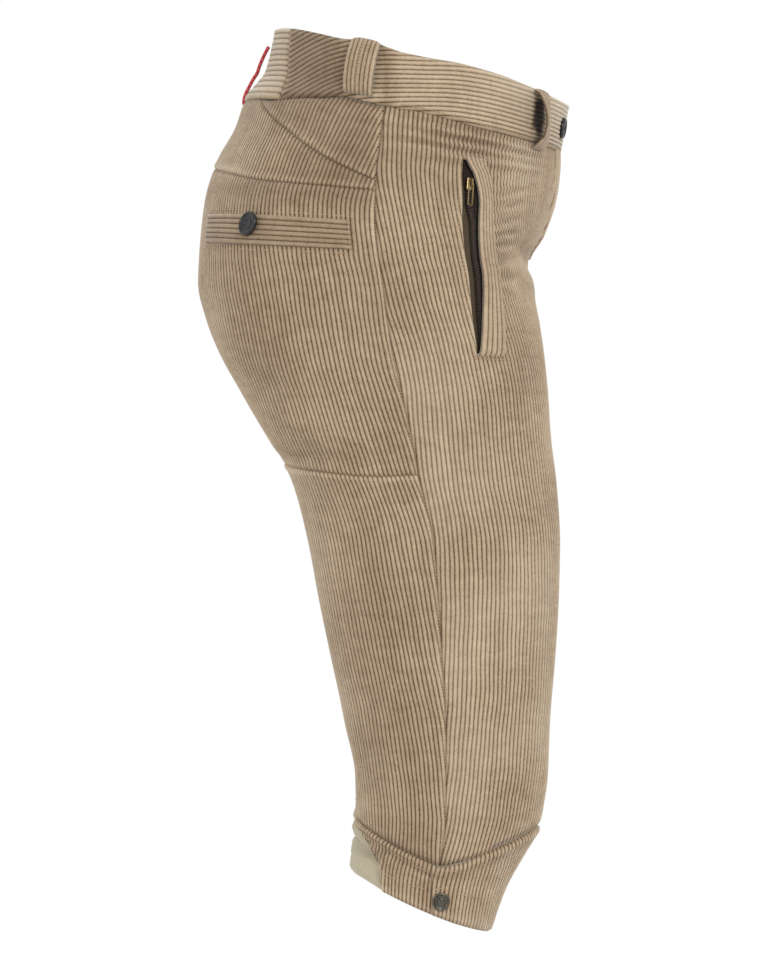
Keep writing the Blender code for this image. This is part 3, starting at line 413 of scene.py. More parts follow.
def sheet_faces(rows, columns, spans, kept):
    """Faces of a closed sheet whose outer grid has every row and whose inner grid has only the kept rows.
    spans are (first row, last row, low column of each row, high column of each row)."""
    behind = rows * columns

    def grid_faces(steps, low, high):
        faces = []
        c = np.arange(columns - 1)
        for r, n in zip(steps, steps[1:]):
            a, b = (r * columns + np.clip(k, low[r], high[r]) for k in (c, c + 1))
            d, e = (n * columns + np.clip(k, low[n], high[n]) for k in (c, c + 1))
            real = (a != b) | (d != e)
            faces += np.stack([a, d, e, b], axis=-1)[real].tolist()
        return [list(dict.fromkeys(f)) for f in faces]

    outer, inner, rim = [], [], []
    for first, last, low, high in spans:
        steps = sorted({first, last} | {r for r in kept if first < r < last})
        outer += grid_faces(list(range(first, last + 1)), low, high)
        inner += [[behind + i for i in reversed(f)] for f in grid_faces(steps, low, high)]
        for p, q in zip(steps, steps[1:]):
            down = [r * columns + high[r] for r in range(p, q + 1)]
            up = [r * columns + low[r] for r in range(q, p - 1, -1)]
            rim += [side + [behind + side[-1], behind + side[0]] for side in (down, up)]
    edges = {(i, j) for f in outer for i, j in zip(f, f[1:] + f[:1])}
    for i, j in edges:
        if i // columns == j // columns and (j, i) not in edges:
            rim.append([j, i, behind + i, behind + j])
    return [[int(i) for i in f] for f in outer + inner + sorted(rim)]


def tube_faces(rings, around, base=0):
    """Faces of a closed tube, whose points follow one another ring by ring."""
    faces = []
    for ring in range(rings - 1):
        for k in range(around):
            a, b = (base + ring * around + i for i in (k, (k + 1) % around))
            faces.append([a, b, b + around, a + around])
    first, last = ([base + ring * around + k for k in range(around)] for ring in (0, rings - 1))
    return faces + [first[::-1], last]


def outward(points, faces):
    """A closed shell's faces, turned round if its signed volume says that they point inwards."""
    total = 0.0
    for f in faces:
        a = points[f[0]]
        for i, j in zip(f[1:], f[2:]):
            total += float(np.dot(a, np.cross(points[i], points[j])))
    return [f[::-1] for f in faces] if total < 0 else faces


def mesh_object(name, side, points, faces, material, values=None, sharp=None):
    """A mesh for one side from the right side's points, with numbers on its points for the shader."""
    if side == "left":
        points, faces = mirrored(points), [f[::-1] for f in faces]
    mesh = bpy.data.meshes.new(name)
    mesh.from_pydata((np.asarray(points, float) * MM).tolist(), [], faces)
    for key, numbers in (values or {}).items():
        layer = mesh.attributes.new(key, "FLOAT", "POINT")
        layer.data.foreach_set("value", np.asarray(numbers, np.float32))
    mesh.shade_smooth()
    if sharp:
        mesh.set_sharp_from_angle(angle=math.radians(sharp))
    mesh.materials.append(material)
    obj = bpy.data.objects.new(name, mesh)
    bpy.context.scene.collection.objects.link(obj)
    return obj


def dress(obj, slot, *replaced):
    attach(obj, BODY)
    if replaced:
        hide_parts(*replaced)
    return obj


def sheet_objects(node, sides, outer, inner, material, values, spans=None, slot="corduroy", every=4):
    """Thin closed sheet between two grids of points, made for each side of the body."""
    rows, columns = outer.shape[:2]
    spans = spans or [(0, rows - 1, np.zeros(rows, int), np.full(rows, columns - 1))]
    faces = sheet_faces(rows, columns, spans, range(0, rows, every))
    used = np.unique(np.concatenate([np.array(f) for f in faces]))
    index = np.full(2 * rows * columns, -1)
    index[used] = np.arange(len(used))
    points = np.concatenate([outer.reshape(-1, 3), inner.reshape(-1, 3)])[used]
    faces = outward(points, [[int(index[i]) for i in f] for f in faces])
    numbers = {key: np.tile(grid.reshape(-1), 2)[used] for key, grid in values.items()}
    # Marks the inner faces, which the shader paints darker as shade.
    numbers["under"] = np.repeat([0.0, 1.0], rows * columns)[used]
    for side in sides:
        name = f"{node}_{side}" if side else node
        obj = mesh_object(f"cloth_{name}", side, points, faces, material, numbers)
        dress(obj, slot, name)


# ---------------------------------------------------------------- ribbed panels

def fixed(value):
    return lambda a: value + 0 * np.asarray(a, float)


def shifted(line, amount):
    return lambda a: line(a) + amount


def mixed(upper, lower, share):
    return lambda a: upper(a) * (1 - share) + lower(a) * share


def at_edge(around):
    """Distance from the side seam of a fixed place round the ring."""
    return lambda drop: distance(around, drop)


def insert_edge(sign):
    """Side of the knit insert as a distance from the side seam."""
    return lambda drop: distance(INSERT_CENTRE + sign * insert_half(drop), drop)


EDGE_ROWS = (0.2, 1.1, 2.4, 4.2, 6.6)
BEND_DOWN = 60.0           # over which the rows turn from a seam's line to level


def panel_lines(top, top_at, bottom, bottom_at, levels):
    """Rows from seam to seam: close together along the two seams, and level between them."""
    def level(at):
        near_top = min(1.0, max(0.0, 1 - (at - top_at) / BEND_DOWN))
        near_bottom = min(1.0, max(0.0, 1 - (bottom_at - at) / BEND_DOWN))
        return lambda a: at + (top(a) - top_at) * near_top + (bottom(a) - bottom_at) * near_bottom

    lines = [shifted(top, e) for e in EDGE_ROWS]
    lines += [level(at) for at in levels]
    return lines + [shifted(bottom, -e) for e in EDGE_ROWS[::-1]]


def wobble(wale, drop):
    """How far the ribs stray from a true line."""
    return 0.26 * np.sin(drop / 17.0 + wale * 0.31) + 0.2 * np.sin(drop / 6.3 - wale * 0.53 + 1.7)


def crimp(along, drop):
    """Sideways throw of the ribs where the cloth has shrunk into waves."""
    throw = 0.0
    for at, below, half_along, half_drop, wave, most in CRIMPS:
        turn = 2 * math.pi * drop / wave + along / 9.0
        throw = throw + most * bump(along, at, half_along) * bump(drop, below, half_drop) * np.sin(turn)
    return throw


class Panel:
    """Grid of places whose columns follow the ribs and whose rows run from seam to seam."""

    def __init__(self, lines, grain, pitch, wales, inside):
        wale = wale_columns(*wales)
        rows, columns = len(lines), len(wale)
        self.lines, self.pitch = lines, line_of(pitch)
        grain = line_of(grain)
        self.along, self.drop = np.zeros((rows, columns)), np.zeros((rows, columns))
        for r, line in enumerate(lines):
            d = line(np.full(columns, inside))
            for _ in range(4):
                s = grain(d) + wale * self.pitch(d) + wobble(wale, d)
                s = s + crimp(s, d)
                d = line(place(s, d))
            self.along[r], self.drop[r] = s, d
        self.wale = np.tile(wale, (rows, 1))
        self.spans = []

    def span(self, low, high, first=0, last=None):
        """Keeps the columns between two side lines, whose nearest columns move onto them."""
        rows, columns = self.along.shape
        last = rows - 1 if last is None else last
        kept = [np.zeros(rows, int), np.zeros(rows, int)]
        for r in range(rows):
            for which, bound in enumerate((low, high)):
                d = self.drop[r, columns // 2]
                for _ in range(5):
                    s = bound(np.array([d]))[0]
                    d = self.lines[r](place([s], [d]))[0]
                k = int(np.argmin(np.abs(self.along[r] - s)))
                kept[which][r] = k
                if first <= r <= last:
                    self.wale[r, k] += (s - self.along[r, k]) / self.pitch([d])[0]
                    self.along[r, k], self.drop[r, k] = s, d
        self.spans.append((first, last, np.minimum(*kept), np.maximum(*kept)))

    def below(self, line):
        """How far each point lies below a seam."""
        return self.drop - line(place(self.along, self.drop))

    def above(self, line):
        return -self.below(line)

    def from_edge(self, around):
        """How far each point is from a fixed place round the ring."""
        return np.abs(distance(around, self.drop) - self.along)

    def from_insert(self):
        """How far each point is from the knit insert's side, which ends above its top."""
        away = np.abs(place(self.along, self.drop) - INSERT_CENTRE) - insert_half(self.drop)
        return np.where(self.drop > INSERT[0][0] - 1, away * CALF_RING, FAR)


# How the cloth lies along an edge: its swell over the turnings (height, how far in, half width), how deep it
# rolls into the seam and over what width, what share of the ribs' height is lost and over what width, and the
# painted light on the swell, as a change of tone for each millimetre (a darker tone on the cuff's roll).
EDGES = {
    "over": ((0.9, 2.4, 2.6), (1.7, 0.8), (0.55, 1.6), 0.22),
    "roll": ((0.9, 2.4, 2.6), (1.7, 0.8), (0.55, 1.6), -0.12),
    "fold": ((0.7, 1.6, 2.0), (2.0, 0.7), (0.85, 2.6), 0.22),
    "under": ((0.0, 0.0, 1.0), (1.5, 2.0), (0.55, 1.6), 0.22),
}
# Painted shade: the cloth's colour is darkened where it rolls down into a seam.
ROLL_SHADE = 0.3           # how much darker the cloth gets for each millimetre it rolls down
FOLD_CONTRAST, FOLD_STEP = 0.8, 1.2


def edge_shape(distance_in, style):
    """Height of the cloth near an edge: it rolls down into the seam, and swells over the turnings."""
    (swell, middle, width), (depth, reach), _, _ = EDGES[style]
    d = np.maximum(distance_in, 0.0)
    return swell * bump(d, middle, width) - depth * bump(d, 0, reach)


def edge_rib(distance_in, style):
    """How much of the ribs' height is left near an edge."""
    lost, reach = EDGES[style][2]
    return 1 - lost * bump(np.maximum(distance_in, 0.0), 0, reach)


def fold_light(along, drop):
    """Folds that face up catch more light than folds that face down."""
    slope = (folds(along, drop + FOLD_STEP) - folds(along, drop - FOLD_STEP)) / (2 * FOLD_STEP)
    return np.clip(slope * FOLD_CONTRAST, -0.3, 0.14)


def stray_tone(along, drop):
    """Faint, broad changes of tone where the pile has been brushed or worn."""
    return 0.10 * np.sin(along / 23.0 + drop / 41.0) * np.sin(drop / 29.0 - along / 57.0 + 0.8)


def ribbed(node, panel, edges, material, rise=0.0, tone=0.0):
    """Ribbed cloth over a panel's grid. edges are (distance inwards from the edge, style)."""
    height, share = rise + 0 * panel.along, np.ones(panel.along.shape)
    shade = tone + stray_tone(panel.along, panel.drop) + fold_light(panel.along, panel.drop)
    for away, style in edges:
        shape = edge_shape(away, style)
        height = height + shape
        share = share * edge_rib(away, style)
        # Painted light on each edge's swell and painted shade where the cloth rolls into the seam.
        shade = shade + np.where(shape > 0, EDGES[style][3], ROLL_SHADE) * np.clip(shape, -1.2, 1.0)
    rib = RIB * share
    outer = lifted(panel.along, panel.drop, height + rib * (ribs(panel.wale) - RIB_MIDDLE))
    inner = lifted(panel.along, panel.drop, height - rib * RIB_MIDDLE - WALL)
    values = {"wale": panel.wale, "length": panel.drop, "tone": shade}
    sheet_objects(node, BOTH, outer, inner, material, values, panel.spans)


# Paler and darker places on the front of the leg; the pale ones over the front hip and beside the side seam
# at mid leg
# are painted sheen: (distance, drop, half length, half height, change of tone).
FRONT_SHEEN_AND_TONE = (
    (25, 460, 48, 160, 0.08),
    (78, 330, 36, 45, -0.1),
    (118, 60, 24, 20, 0.12),
    (12, 285, 34, 60, 0.16),
)


def front_leg(cloth):
    """Rows lie close together over the pocket, whose mouth and welt cut the panel in two."""
    levels = [*range(55, 79, 2), *(79.5 + 2.5 * k for k in range(50)), *range(209, 240, 7)]
    levels += [*range(240, 600, 8), 603, *range(607, 632, 3)]
    lines = panel_lines(shifted(band_seam, -TUCK), 45.0, shifted(cuff_seam, TUCK), 639.0, levels)
    top, bottom = (len(EDGE_ROWS) + levels.index(at) for at in (POCKET_TOP, POCKET_BOTTOM))
    panel = Panel(lines, FRONT_GRAIN, FRONT_PITCH, (-10, 114), 0.6)
    side, centre = fixed(-TUCK), at_edge(FRONT_CENTRE)
    panel.span(side, centre, last=top)
    panel.span(side, mouth_back, top, bottom)
    panel.span(shifted(mouth_front, WELT_LAP), centre, top, bottom)
    panel.span(side, centre, first=bottom)
    along, drop = panel.along, panel.drop
    beside_pocket = (drop > POCKET_TOP - 1) & (drop < POCKET_BOTTOM + 1)
    behind_mouth = beside_pocket & (along < mouth_back(drop) + 0.5)
    edges = (
        (panel.below(band_seam) + TUCK, "under"),
        (panel.above(cuff_seam) + TUCK, "under"),
        (along + TUCK, "under"),
        (np.where(behind_mouth, mouth_back(drop) - along, FAR), "fold"),
        (panel.from_edge(FRONT_CENTRE), "under"),
    )
    hip = ramp(drop, 130, 80) * ramp(along, 130, 80)
    # The first term is painted sheen, paler towards the front's edge.
    tone = 0.04 * ramp(along, 110, 160) - 0.16 * hip - 0.1 * ramp(drop, 300, 200) + 0.03
    for at, below, reach, height, change in FRONT_SHEEN_AND_TONE:
        tone = tone + change * bump(along, at, reach) * bump(drop, below, height)
    ribbed("front_leg", panel, edges, cloth, tone=tone)


YOKE_ROWS = (0, 0.03, 0.07, 0.13, 0.2, 0.28, 0.36, 0.44, 0.52, 0.6, 0.68, 0.76, 0.84, 0.9, 0.95, 0.98, 1)
YOKE_TONE = -0.36


def yokes(cloth):
    def under_band(a):
        return band_seam(a) + SIDE + 0.7 * ramp(a, 1.4, 1.5)

    def top_of_lower(a):
        return np.maximum(upper_yoke(a), band_seam(a))

    lines = [mixed(under_band, shifted(upper_yoke, -SIDE), share) for share in YOKE_ROWS]
    panel = Panel(lines, YOKE_GRAIN, YOKE_PITCH, (-70, 12), 1.3)
    panel.span(at_edge(WEDGE_END), fixed(-SIDE))
    edges = (
        (panel.below(under_band), "under"),
        (panel.above(upper_yoke), "over"),
        (-SIDE - panel.along, "over"),
    )
    ribbed("yoke_upper", panel, edges, cloth, tone=YOKE_TONE)

    top, bottom = shifted(top_of_lower, SIDE - TUCK), shifted(lower_yoke, -SIDE)
    lines = [mixed(top, bottom, share) for share in YOKE_ROWS]
    panel = Panel(lines, YOKE_GRAIN, YOKE_PITCH, (-80, 14), 1.3)
    panel.wale += 0.45
    panel.span(at_edge(BACK_CENTRE), fixed(-SIDE))
    edges = (
        (panel.below(top_of_lower) + TUCK, "under"),
        (panel.above(lower_yoke), "over"),
        (-SIDE - panel.along, "over"),
        (panel.from_edge(BACK_CENTRE), "under"),
    )
    # Painted sheen: paler towards the back's middle.
    ribbed("yoke_lower", panel, edges, cloth, tone=YOKE_TONE + 0.34 * ramp(panel.along, -60, -130))


def seat(cloth):
    levels = [*range(120, 300, 6), *range(300, 325, 4)]
    lines = panel_lines(shifted(lower_yoke, -TUCK), 110.8, shifted(thigh_seam, TUCK), 333.5, levels)
    panel = Panel(lines, SEAT_GRAIN, BACK_PITCH, (-90, 20), 1.4)
    panel.span(at_edge(BACK_CENTRE), fixed(-SIDE))
    edges = (
        (panel.below(lower_yoke) + TUCK, "under"),
        (panel.above(thigh_seam) + TUCK, "under"),
        (-SIDE - panel.along, "over"),
        (panel.from_edge(BACK_CENTRE), "under"),
    )
    # The last term is painted sheen, paler towards the back's edge.
    tone = -0.22 * bump(panel.drop, 118, 9) - 0.1 + 0.14 * ramp(panel.along, -110, -160)
    tone = tone - 0.1 * bump(panel.along, -75, 40) * bump(panel.drop, 165, 25)
    ribbed("seat", panel, edges, cloth, tone=tone)


def back_leg(cloth):
    """The panel splits in two round the knit insert, from the first row that reaches its top."""
    levels = [*range(343, 604, 7), 605, *range(609, 631, 3)]
    lines = panel_lines(thigh_seam, 333.5, shifted(cuff_seam, TUCK), 639.0, levels)
    panel = Panel(lines, LEG_GRAIN, BACK_PITCH, (-94, 20), 1.4)
    notch = next(r for r, line in enumerate(lines) if line(INSERT_CENTRE) >= INSERT[0][0])
    centre, side = at_edge(BACK_CENTRE), fixed(-SIDE)
    panel.span(centre, side, last=notch)
    panel.span(insert_edge(-1), side, first=notch)
    panel.span(centre, insert_edge(1), first=notch)
    edges = (
        (panel.below(thigh_seam), "over"),
        (panel.above(cuff_seam) + TUCK, "under"),
        (-SIDE - panel.along, "over"),
        (panel.from_insert(), "over"),
        (panel.from_edge(BACK_CENTRE), "under"),
    )
    # Painted sheen: paler towards the back's edge, more so near the calf.
    tone = -0.12 + (0.22 + 0.12 * bump(panel.drop, 590, 60)) * ramp(panel.along, -60, -110)
    ribbed("back_leg", panel, edges, cloth, tone=tone)


CUFF_ROWS = (0, 0.03, 0.08, 0.16, 0.26, 0.37, 0.48, 0.58, 0.68, 0.78, 0.87, 0.94, 0.98, 1)
CUFF_RISE, LAP_RISE = 0.4, 2.4     # of the cuff's front half, and how much more over the underlap
LAP_END = (VENT_UNDERLAP + 2, VENT_UNDERLAP + 17)


def cuff_panel(wales, inside, low, high):
    """A part of the cuff between two side lines, and its edges at the seam and the hem."""
    lines = [mixed(shifted(cuff_seam, SIDE), fixed(HEM_DROP), share) for share in CUFF_ROWS]
    panel = Panel(lines, CUFF_GRAIN, CUFF_PITCH, wales, inside)
    panel.span(low, high)
    return panel, [(panel.below(cuff_seam), "roll"), (HEM_DROP - panel.drop, "fold")]


def cuffs(cloth):
    vent = line_of(VENT)
    panel, edges = cuff_panel((-8, 62), 0.6, vent, at_edge(FRONT_CENTRE))
    edges += [(panel.along - vent(panel.drop), "fold"), (panel.from_edge(FRONT_CENTRE), "under")]
    rise = LAP_RISE * (1 - ramp(panel.along, *LAP_END)) + CUFF_RISE
    ribbed("cuff_front", panel, edges, cloth, rise, -0.09 + 0.09 * ramp(panel.along, 10, 70))

    panel, edges = cuff_panel((-60, 12), 1.4, insert_edge(-1), fixed(VENT_UNDERLAP))
    ribbed("cuff_back_outer", panel, [*edges, (panel.from_insert(), "over")], cloth, tone=-0.06)

    panel, edges = cuff_panel((-62, 8), 1.9, at_edge(BACK_CENTRE), insert_edge(1))
    edges += [(panel.from_insert(), "over"), (panel.from_edge(BACK_CENTRE), "under")]
    ribbed("cuff_back_inner", panel, edges, cloth, tone=-0.2)


KNIT_TOP = 603.0
KNIT_SINK, KNIT_THICK = 3.0, 1.2
KNIT_PUFF = 7.2
# Rolls and hollows across the knit: (drop, half width, height).
KNIT_ROLLS = ((634, 5, 2.6), (649, 5, -7.5), (661, 6, -0.6), (HEM_DROP, 4, -4))


def knit_row(upper, lower, share):
    """Places and drops of one row of the knit, which reaches under the cloth on both sides."""
    def line(a):
        return between(upper(a), lower(a), share)

    half = insert_half(line(INSERT_CENTRE)) + INSERT_UNDER
    around = INSERT_CENTRE + np.linspace(1, -1, 49) * half
    return around, line(around)


def calf_insert(knit):
    """Smooth knit between the leg's and cuff's edges, puffed outwards, with a turned hem."""
    rows = [knit_row(fixed(KNIT_TOP), cuff_seam, share) for share in (0.0, 0.2, 0.4, 0.6, 0.7, 0.8, 0.9)]
    rows += [knit_row(cuff_seam, fixed(HEM_DROP), step / 22) for step in range(23)]
    around, drop = (np.array(grid) for grid in zip(*rows))
    half = insert_half(drop)
    part = np.abs(around - INSERT_CENTRE) / half
    puff = KNIT_PUFF * np.clip(1 - part**2, 0, 1) ** 1.5 * np.clip(half / 0.2 - 0.1, 0, 1)
    rolls = sum(rise * bump(drop, at, width) for at, width, rise in KNIT_ROLLS)
    puff = puff + np.clip(1 - part**4, 0, 1) * rolls
    pucker = 0.35 * np.sin(drop / 2.1 + 3 * np.sin(around * 9)) * bump(part, 0.95, 0.15)
    hem = 0.9 * bump(drop, HEM_DROP - 3, 3) - 1.2 * bump(drop, HEM_DROP, 1)
    height = puff - KNIT_SINK + pucker + hem
    along = distance(around, drop)
    outer, inner = lifted(along, drop, height), lifted(along, drop, height - KNIT_THICK)
    values = {"wale": along / 1.3, "length": drop, "tone": 0 * along}
    sheet_objects("calf_insert", BOTH, outer, inner, knit, values, slot="stretch_knit", every=1)


# ---------------------------------------------------------------- waistband

BAND_WALES = 13
BAND_RISE = 1.5            # height of its outer face over the body surface
BAND_FLARE = -0.11         # the back piece widens downwards, by this much of the ring
JOIN_GAP = 0.00005         # half the gap between the side and back pieces, as a part of the ring
# The side pieces are cut on a curve, so their ribs climb towards the front: (distance from the seam, climb).
CLIMB = (
    (-130, 0.5), (-60, 0.5), (-45, 0.42), (-25, 0.33), (-10, 0.25), (11, 0.19), (28, 0.2),
    (45, 0.24), (62, 0.15), (80, 0.08), (95, 0.02), (115, 0), (240, 0),
)


def climbed(along):
    """How far the ribs have climbed between here and the front."""
    at = np.arange(CLIMB[0][0], CLIMB[-1][0] + 1)
    rate = np.interp(at, *np.array(CLIMB).T)
    return np.interp(along, at, np.cumsum(rate[::-1])[::-1])


def band_rows(arounds, climbing):
    """Grid on the waistband with its ribs along the band. Rows go backwards along it."""
    wale = wale_columns(-24 if climbing else -1, BAND_WALES + 3)
    rows = len(arounds)
    around = np.tile(arounds[:, None], (1, len(wale)))
    rim, depth = band_top(arounds)[:, None], band_seam(arounds)[:, None]
    pitch = depth / BAND_WALES
    drop = wale * pitch + (climbed(distance(around, 20.0)) if climbing else 0)
    wale = np.tile(wale, (rows, 1))
    kept = []
    for goal in (rim, depth):
        column = np.argmin(np.abs(drop - goal), axis=1)
        at = np.arange(rows), column
        wale[at] += (goal[:, 0] - drop[at]) / pitch[:, 0]
        drop[at] = goal[:, 0]
        kept.append(column)
    drop = np.clip(drop, rim, depth)
    around = around + BAND_FLARE * (drop / depth) ** 2 * ramp(np.abs(around - BAND_JOIN), 0.4, 0)
    return around, drop, wale, [(0, rows - 1, *kept)], depth


def band_points(around, drop, wale, depth, ends):
    """Outer and inner points of the waistband, and its tone, with painted light on its edges' swells and
    painted shade where they roll in.
    """
    height, share, tone = BAND_RISE + 0 * drop, np.ones(drop.shape), 0 * drop
    for away, style in ((drop - band_top(around), "fold"), (depth - drop, "under"), *ends):
        shape = edge_shape(away, style)
        height = height + shape
        share = share * edge_rib(away, style)
        # Painted light over the edges' swells and painted shade where they roll in.
        tone = tone + 0.2 * np.clip(shape + 0.3, -1.2, 0.8)
    along = distance(around, drop)
    outer = lifted(along, drop, height + RIB * share * (ribs(wale) - RIB_MIDDLE))
    return outer, lifted(along, drop, BAND_RISE - BAND), tone


def band_side(cloth):
    """Side piece of the waistband, from the front fastening to its join with the back piece."""
    arounds = np.concatenate([
        [FRONT_CENTRE, 0.006, 0.014], np.linspace(0.03, 0.97, 38), np.linspace(1.0, 1.56, 24),
        [1.575, 1.587, 1.595, BAND_JOIN - JOIN_GAP],
    ])
    around, drop, wale, spans, depth = band_rows(arounds, True)
    along = distance(around, drop)
    ends = (distance(FRONT_CENTRE, drop) - along, "fold"), (along - distance(around[-1:], drop), "over")
    outer, inner, tone = band_points(around, drop, wale, depth, ends)
    pale = ramp(along, 60, 120) * ramp(drop, 36, 6)
    # Painted shadows: near black in the gap between the front belt loop and the band, and a softer one beside
    # the side loop's front edge, at the side seam.
    loop_shadow = 2.2 * (1 - ((along - 144) / 9) ** 2 - ((drop - 24) / 16) ** 2)
    tone = tone - 0.56 * ramp(along, -20, -40) - 0.16 + 0.24 * pale
    tone = tone - 2.0 * np.clip(loop_shadow, 0, 1) - 0.45 * bump(along, 1.5, 5.0)
    values = {"wale": wale, "length": along, "tone": tone}
    sheet_objects("waistband", BOTH, outer, inner, cloth, values, spans, every=3)


def band_back(cloth):
    """Back piece of the waistband, made for the right side and carried on across the middle."""
    arounds = np.concatenate([[BAND_JOIN + JOIN_GAP, 1.605, 1.613], np.linspace(1.63, 2.0, 22)])
    around, drop, wale, spans, depth = band_rows(arounds, False)
    along = distance(around, drop)
    from_side = distance(around[:1], drop) - along
    outer, inner, tone = band_points(around, drop, wale, depth, [(from_side, "under")])
    for grid in (outer, inner):
        grid[-1, :, 0] = 0.0

    def whole(grid, other=None):
        return np.concatenate([grid, (grid if other is None else other)[-2::-1]])

    values = {"wale": whole(wale), "length": whole(along), "tone": whole(tone)}
    outer, inner = (whole(grid, mirrored(grid)) for grid in (outer, inner))
    spans = [(0, len(outer) - 1, *(whole(columns) for columns in spans[0][2:]))]
    sheet_objects("waistband_back", ("",), outer, inner, cloth, values, spans, every=3)


# ---------------------------------------------------------------- strips laid on the panels

def wale_steps(wales, low=0.0, high=1.0):
    """The corners of a strip's ribs, from one edge to the other."""
    return between(low, high, np.append(wale_columns(0, wales), wales) / wales)


def strip(node, along, drop, wales, rise, thick, material, round_edge, tone, ends):
    """Narrow ribbed strip. Rows run along its length and columns across it, from edge to edge."""
    columns = along.shape[1]
    wale = np.linspace(0, wales, columns) + 0 * along
    here = lifted(along, drop, rise)
    width = np.linalg.norm(here[:, -1] - here[:, 0], axis=-1)[:, None]
    across = np.linspace(0, 1, columns) * width
    away = np.minimum(across, width - across)
    part = ramp(away, 0, round_edge)
    run = run_length(here[:, columns // 2])[:, None]
    to_end = np.minimum(run, run[-1] - run)
    height = rise - (1 - np.sqrt(1 - (1 - part) ** 2)) * (thick * 0.45) - ends * bump(to_end, 0, 1.2)
    outer = lifted(along, drop, height + RIB * ramp(away, 0, 2.2) * (ribs(wale) - RIB_MIDDLE))
    inner = lifted(along, drop, rise - thick)
    # Painted sheen: the strip's rounded edges are paler.
    values = {"wale": wale, "length": run + 0 * along, "tone": tone + 0.25 * (1 - ramp(away, 0, 2.0))}
    sheet_objects(node, BOTH, outer, inner, material, values, every=2)


def tape_edge(drop):
    """Back edge of the zip's tape, which shows beside the pocket's lining below the slider."""
    return (mouth_back(drop) + mouth_front(drop)) / 2 - 3.4 + 4.6 * ramp(drop, 112, 128)


def pocket(cloth, lining, tape):
    """Welt, zip tape and the pocket's own cloth, one behind the other."""
    drops = np.concatenate([
        [POCKET_TOP - 2, POCKET_TOP - 1], np.arange(POCKET_TOP, POCKET_BOTTOM, 2.5),
        [POCKET_BOTTOM, POCKET_BOTTOM + 1, POCKET_BOTTOM + 2],
    ])[:, None]
    along = between(mouth_front(drops), welt_seam(drops), wale_steps(5))
    strip("pocket_welt", along, drops + 0 * along, 5, 2.3, 2.6, cloth, round_edge=2.6, tone=-0.07, ends=1.6)

    drops = np.arange(POCKET_TOP - 4, POCKET_BOTTOM + 3.1, 3.0)[:, None]
    back, front = mouth_back(drops), mouth_front(drops)
    for node, low, high, height, ripple, thick, material, slot in (
        ("zip_tape", tape_edge(drops), front + 9, -3.1, 0.0, 0.8, tape, "zip_tape"),
        ("pocket_inside", back - 9, front + 14, -4.6, 0.25, 1.3, lining, "pocket_cloth"),
    ):
        along = between(low, high, np.linspace(0, 1, 14))
        drop = drops + 0 * along
        height = height + ripple * np.sin(drop / 9.0 + along / 5.0)
        outer, inner = lifted(along, drop, height), lifted(along, drop, height - thick)
        values = {"wale": along / 0.9, "length": drop, "tone": 0 * along}
        sheet_objects(node, BOTH, outer, inner, material, values, slot=slot, every=1)


def welt_bottom(share):
    """Lower edge of the back pocket's welt."""
    return between(BACK_WELT["bottom_near"], BACK_WELT["bottom_far"], share)


def back_pocket(cloth):
    share = np.concatenate([[0, 0.006, 0.014], np.linspace(0.03, 0.97, 44), [0.986, 0.994, 1]])[:, None]
    across = wale_steps(6)
    along = between(BACK_WELT["near"], BACK_WELT["far"], share) + 0 * across
    drop = between(BACK_WELT["top"], welt_bottom(share), across)
    rise = 1.9 + 0.5 * ramp(across, 0.4, 1) + 0 * drop
    strip("back_pocket_welt", along, drop, 6, rise, 2.4, cloth, round_edge=2.2, tone=-0.32, ends=1.2)


LOOP_CORNER = 2.4          # how far a belt loop's top corners are rounded down
LOOP_RISE = 4.4


def loop_arch(share):
    """How far a belt loop stands off, from 0 at its ends to 1."""
    return np.clip(np.sin(math.pi * share), 0, 1) ** 0.6


def belt_loops(cloth):
    share = np.concatenate([[0, 0.01], np.linspace(0.03, 0.97, 40), [0.99, 1.0]])[:, None]
    for node, (top_at, low_at, width, top, bottom, stand_off, foot, wales, twist, _) in LOOPS.items():
        across = wale_steps(wales, -0.5, 0.5)
        drop = between(top, bottom, share) + LOOP_CORNER * (2 * np.abs(across)) ** 4 * bump(share, 0, 0.05)
        twisted = twist * across * np.sin(math.pi * share)
        rise = LOOP_RISE + stand_off * loop_arch(share) + foot * ramp(share, 0.8, 1) + twisted
        along = between(top_at, low_at, share) + width * across
        strip(node, along, drop, wales, rise, 2.2, cloth, round_edge=1.8, tone=-0.15, ends=0.8)


def fly_width(share):
    """The fly's width, from its top at 0 to its rounded foot at 1."""
    return between(FLY["foot"], FLY["width"], np.sqrt(np.clip(1 - share**2.4, 0, None)))


def fly(cloth):
    top, bottom = FLY["top"] + 0.4, FLY["bottom"]
    drops = np.concatenate([
        [top, top + 0.8], np.arange(top + 2.5, bottom - 1, 2.5), [bottom - 0.6, bottom],
    ])[:, None]
    width = fly_width((drops - top) / (bottom - top))
    across = wale_steps(11) * FLY["width"]
    along = distance(FRONT_CENTRE, drops) - np.minimum(across, width)
    away = width - np.minimum(across, width)
    wale = np.tile(across / 4.0, (len(drops), 1))
    high = np.maximum((across < width + 0.01).sum(axis=1) - 1, 1)
    at_side = np.arange(len(drops)), high
    along[at_side] = (distance(FRONT_CENTRE, drops) - width)[:, 0]
    wale[at_side] = width[:, 0] / 4.0
    drop = drops + 0 * along
    rise = 1.6 - 1.3 * bump(away, 0, 1)
    outer = lifted(along, drop, rise + RIB * edge_rib(away, "fold") * (ribs(wale) - RIB_MIDDLE))
    inner = lifted(along, drop, rise - 1.9)
    values = {"wale": wale, "length": drop, "tone": 0.1 + 0 * along}
    spans = [(0, len(drops) - 1, 0 * high, high)]
    sheet_objects("fly", ("right",), outer, inner, cloth, values, spans, every=2)


# ---------------------------------------------------------------- stitching and zip teeth

LADDER, LADDER_PITCH = (-0.4, -2.9), 2.5    # reach of the stitches across the side seam, and their pitch
FRAME = 3.0                                 # how far the back pocket's stitching lies below its welt
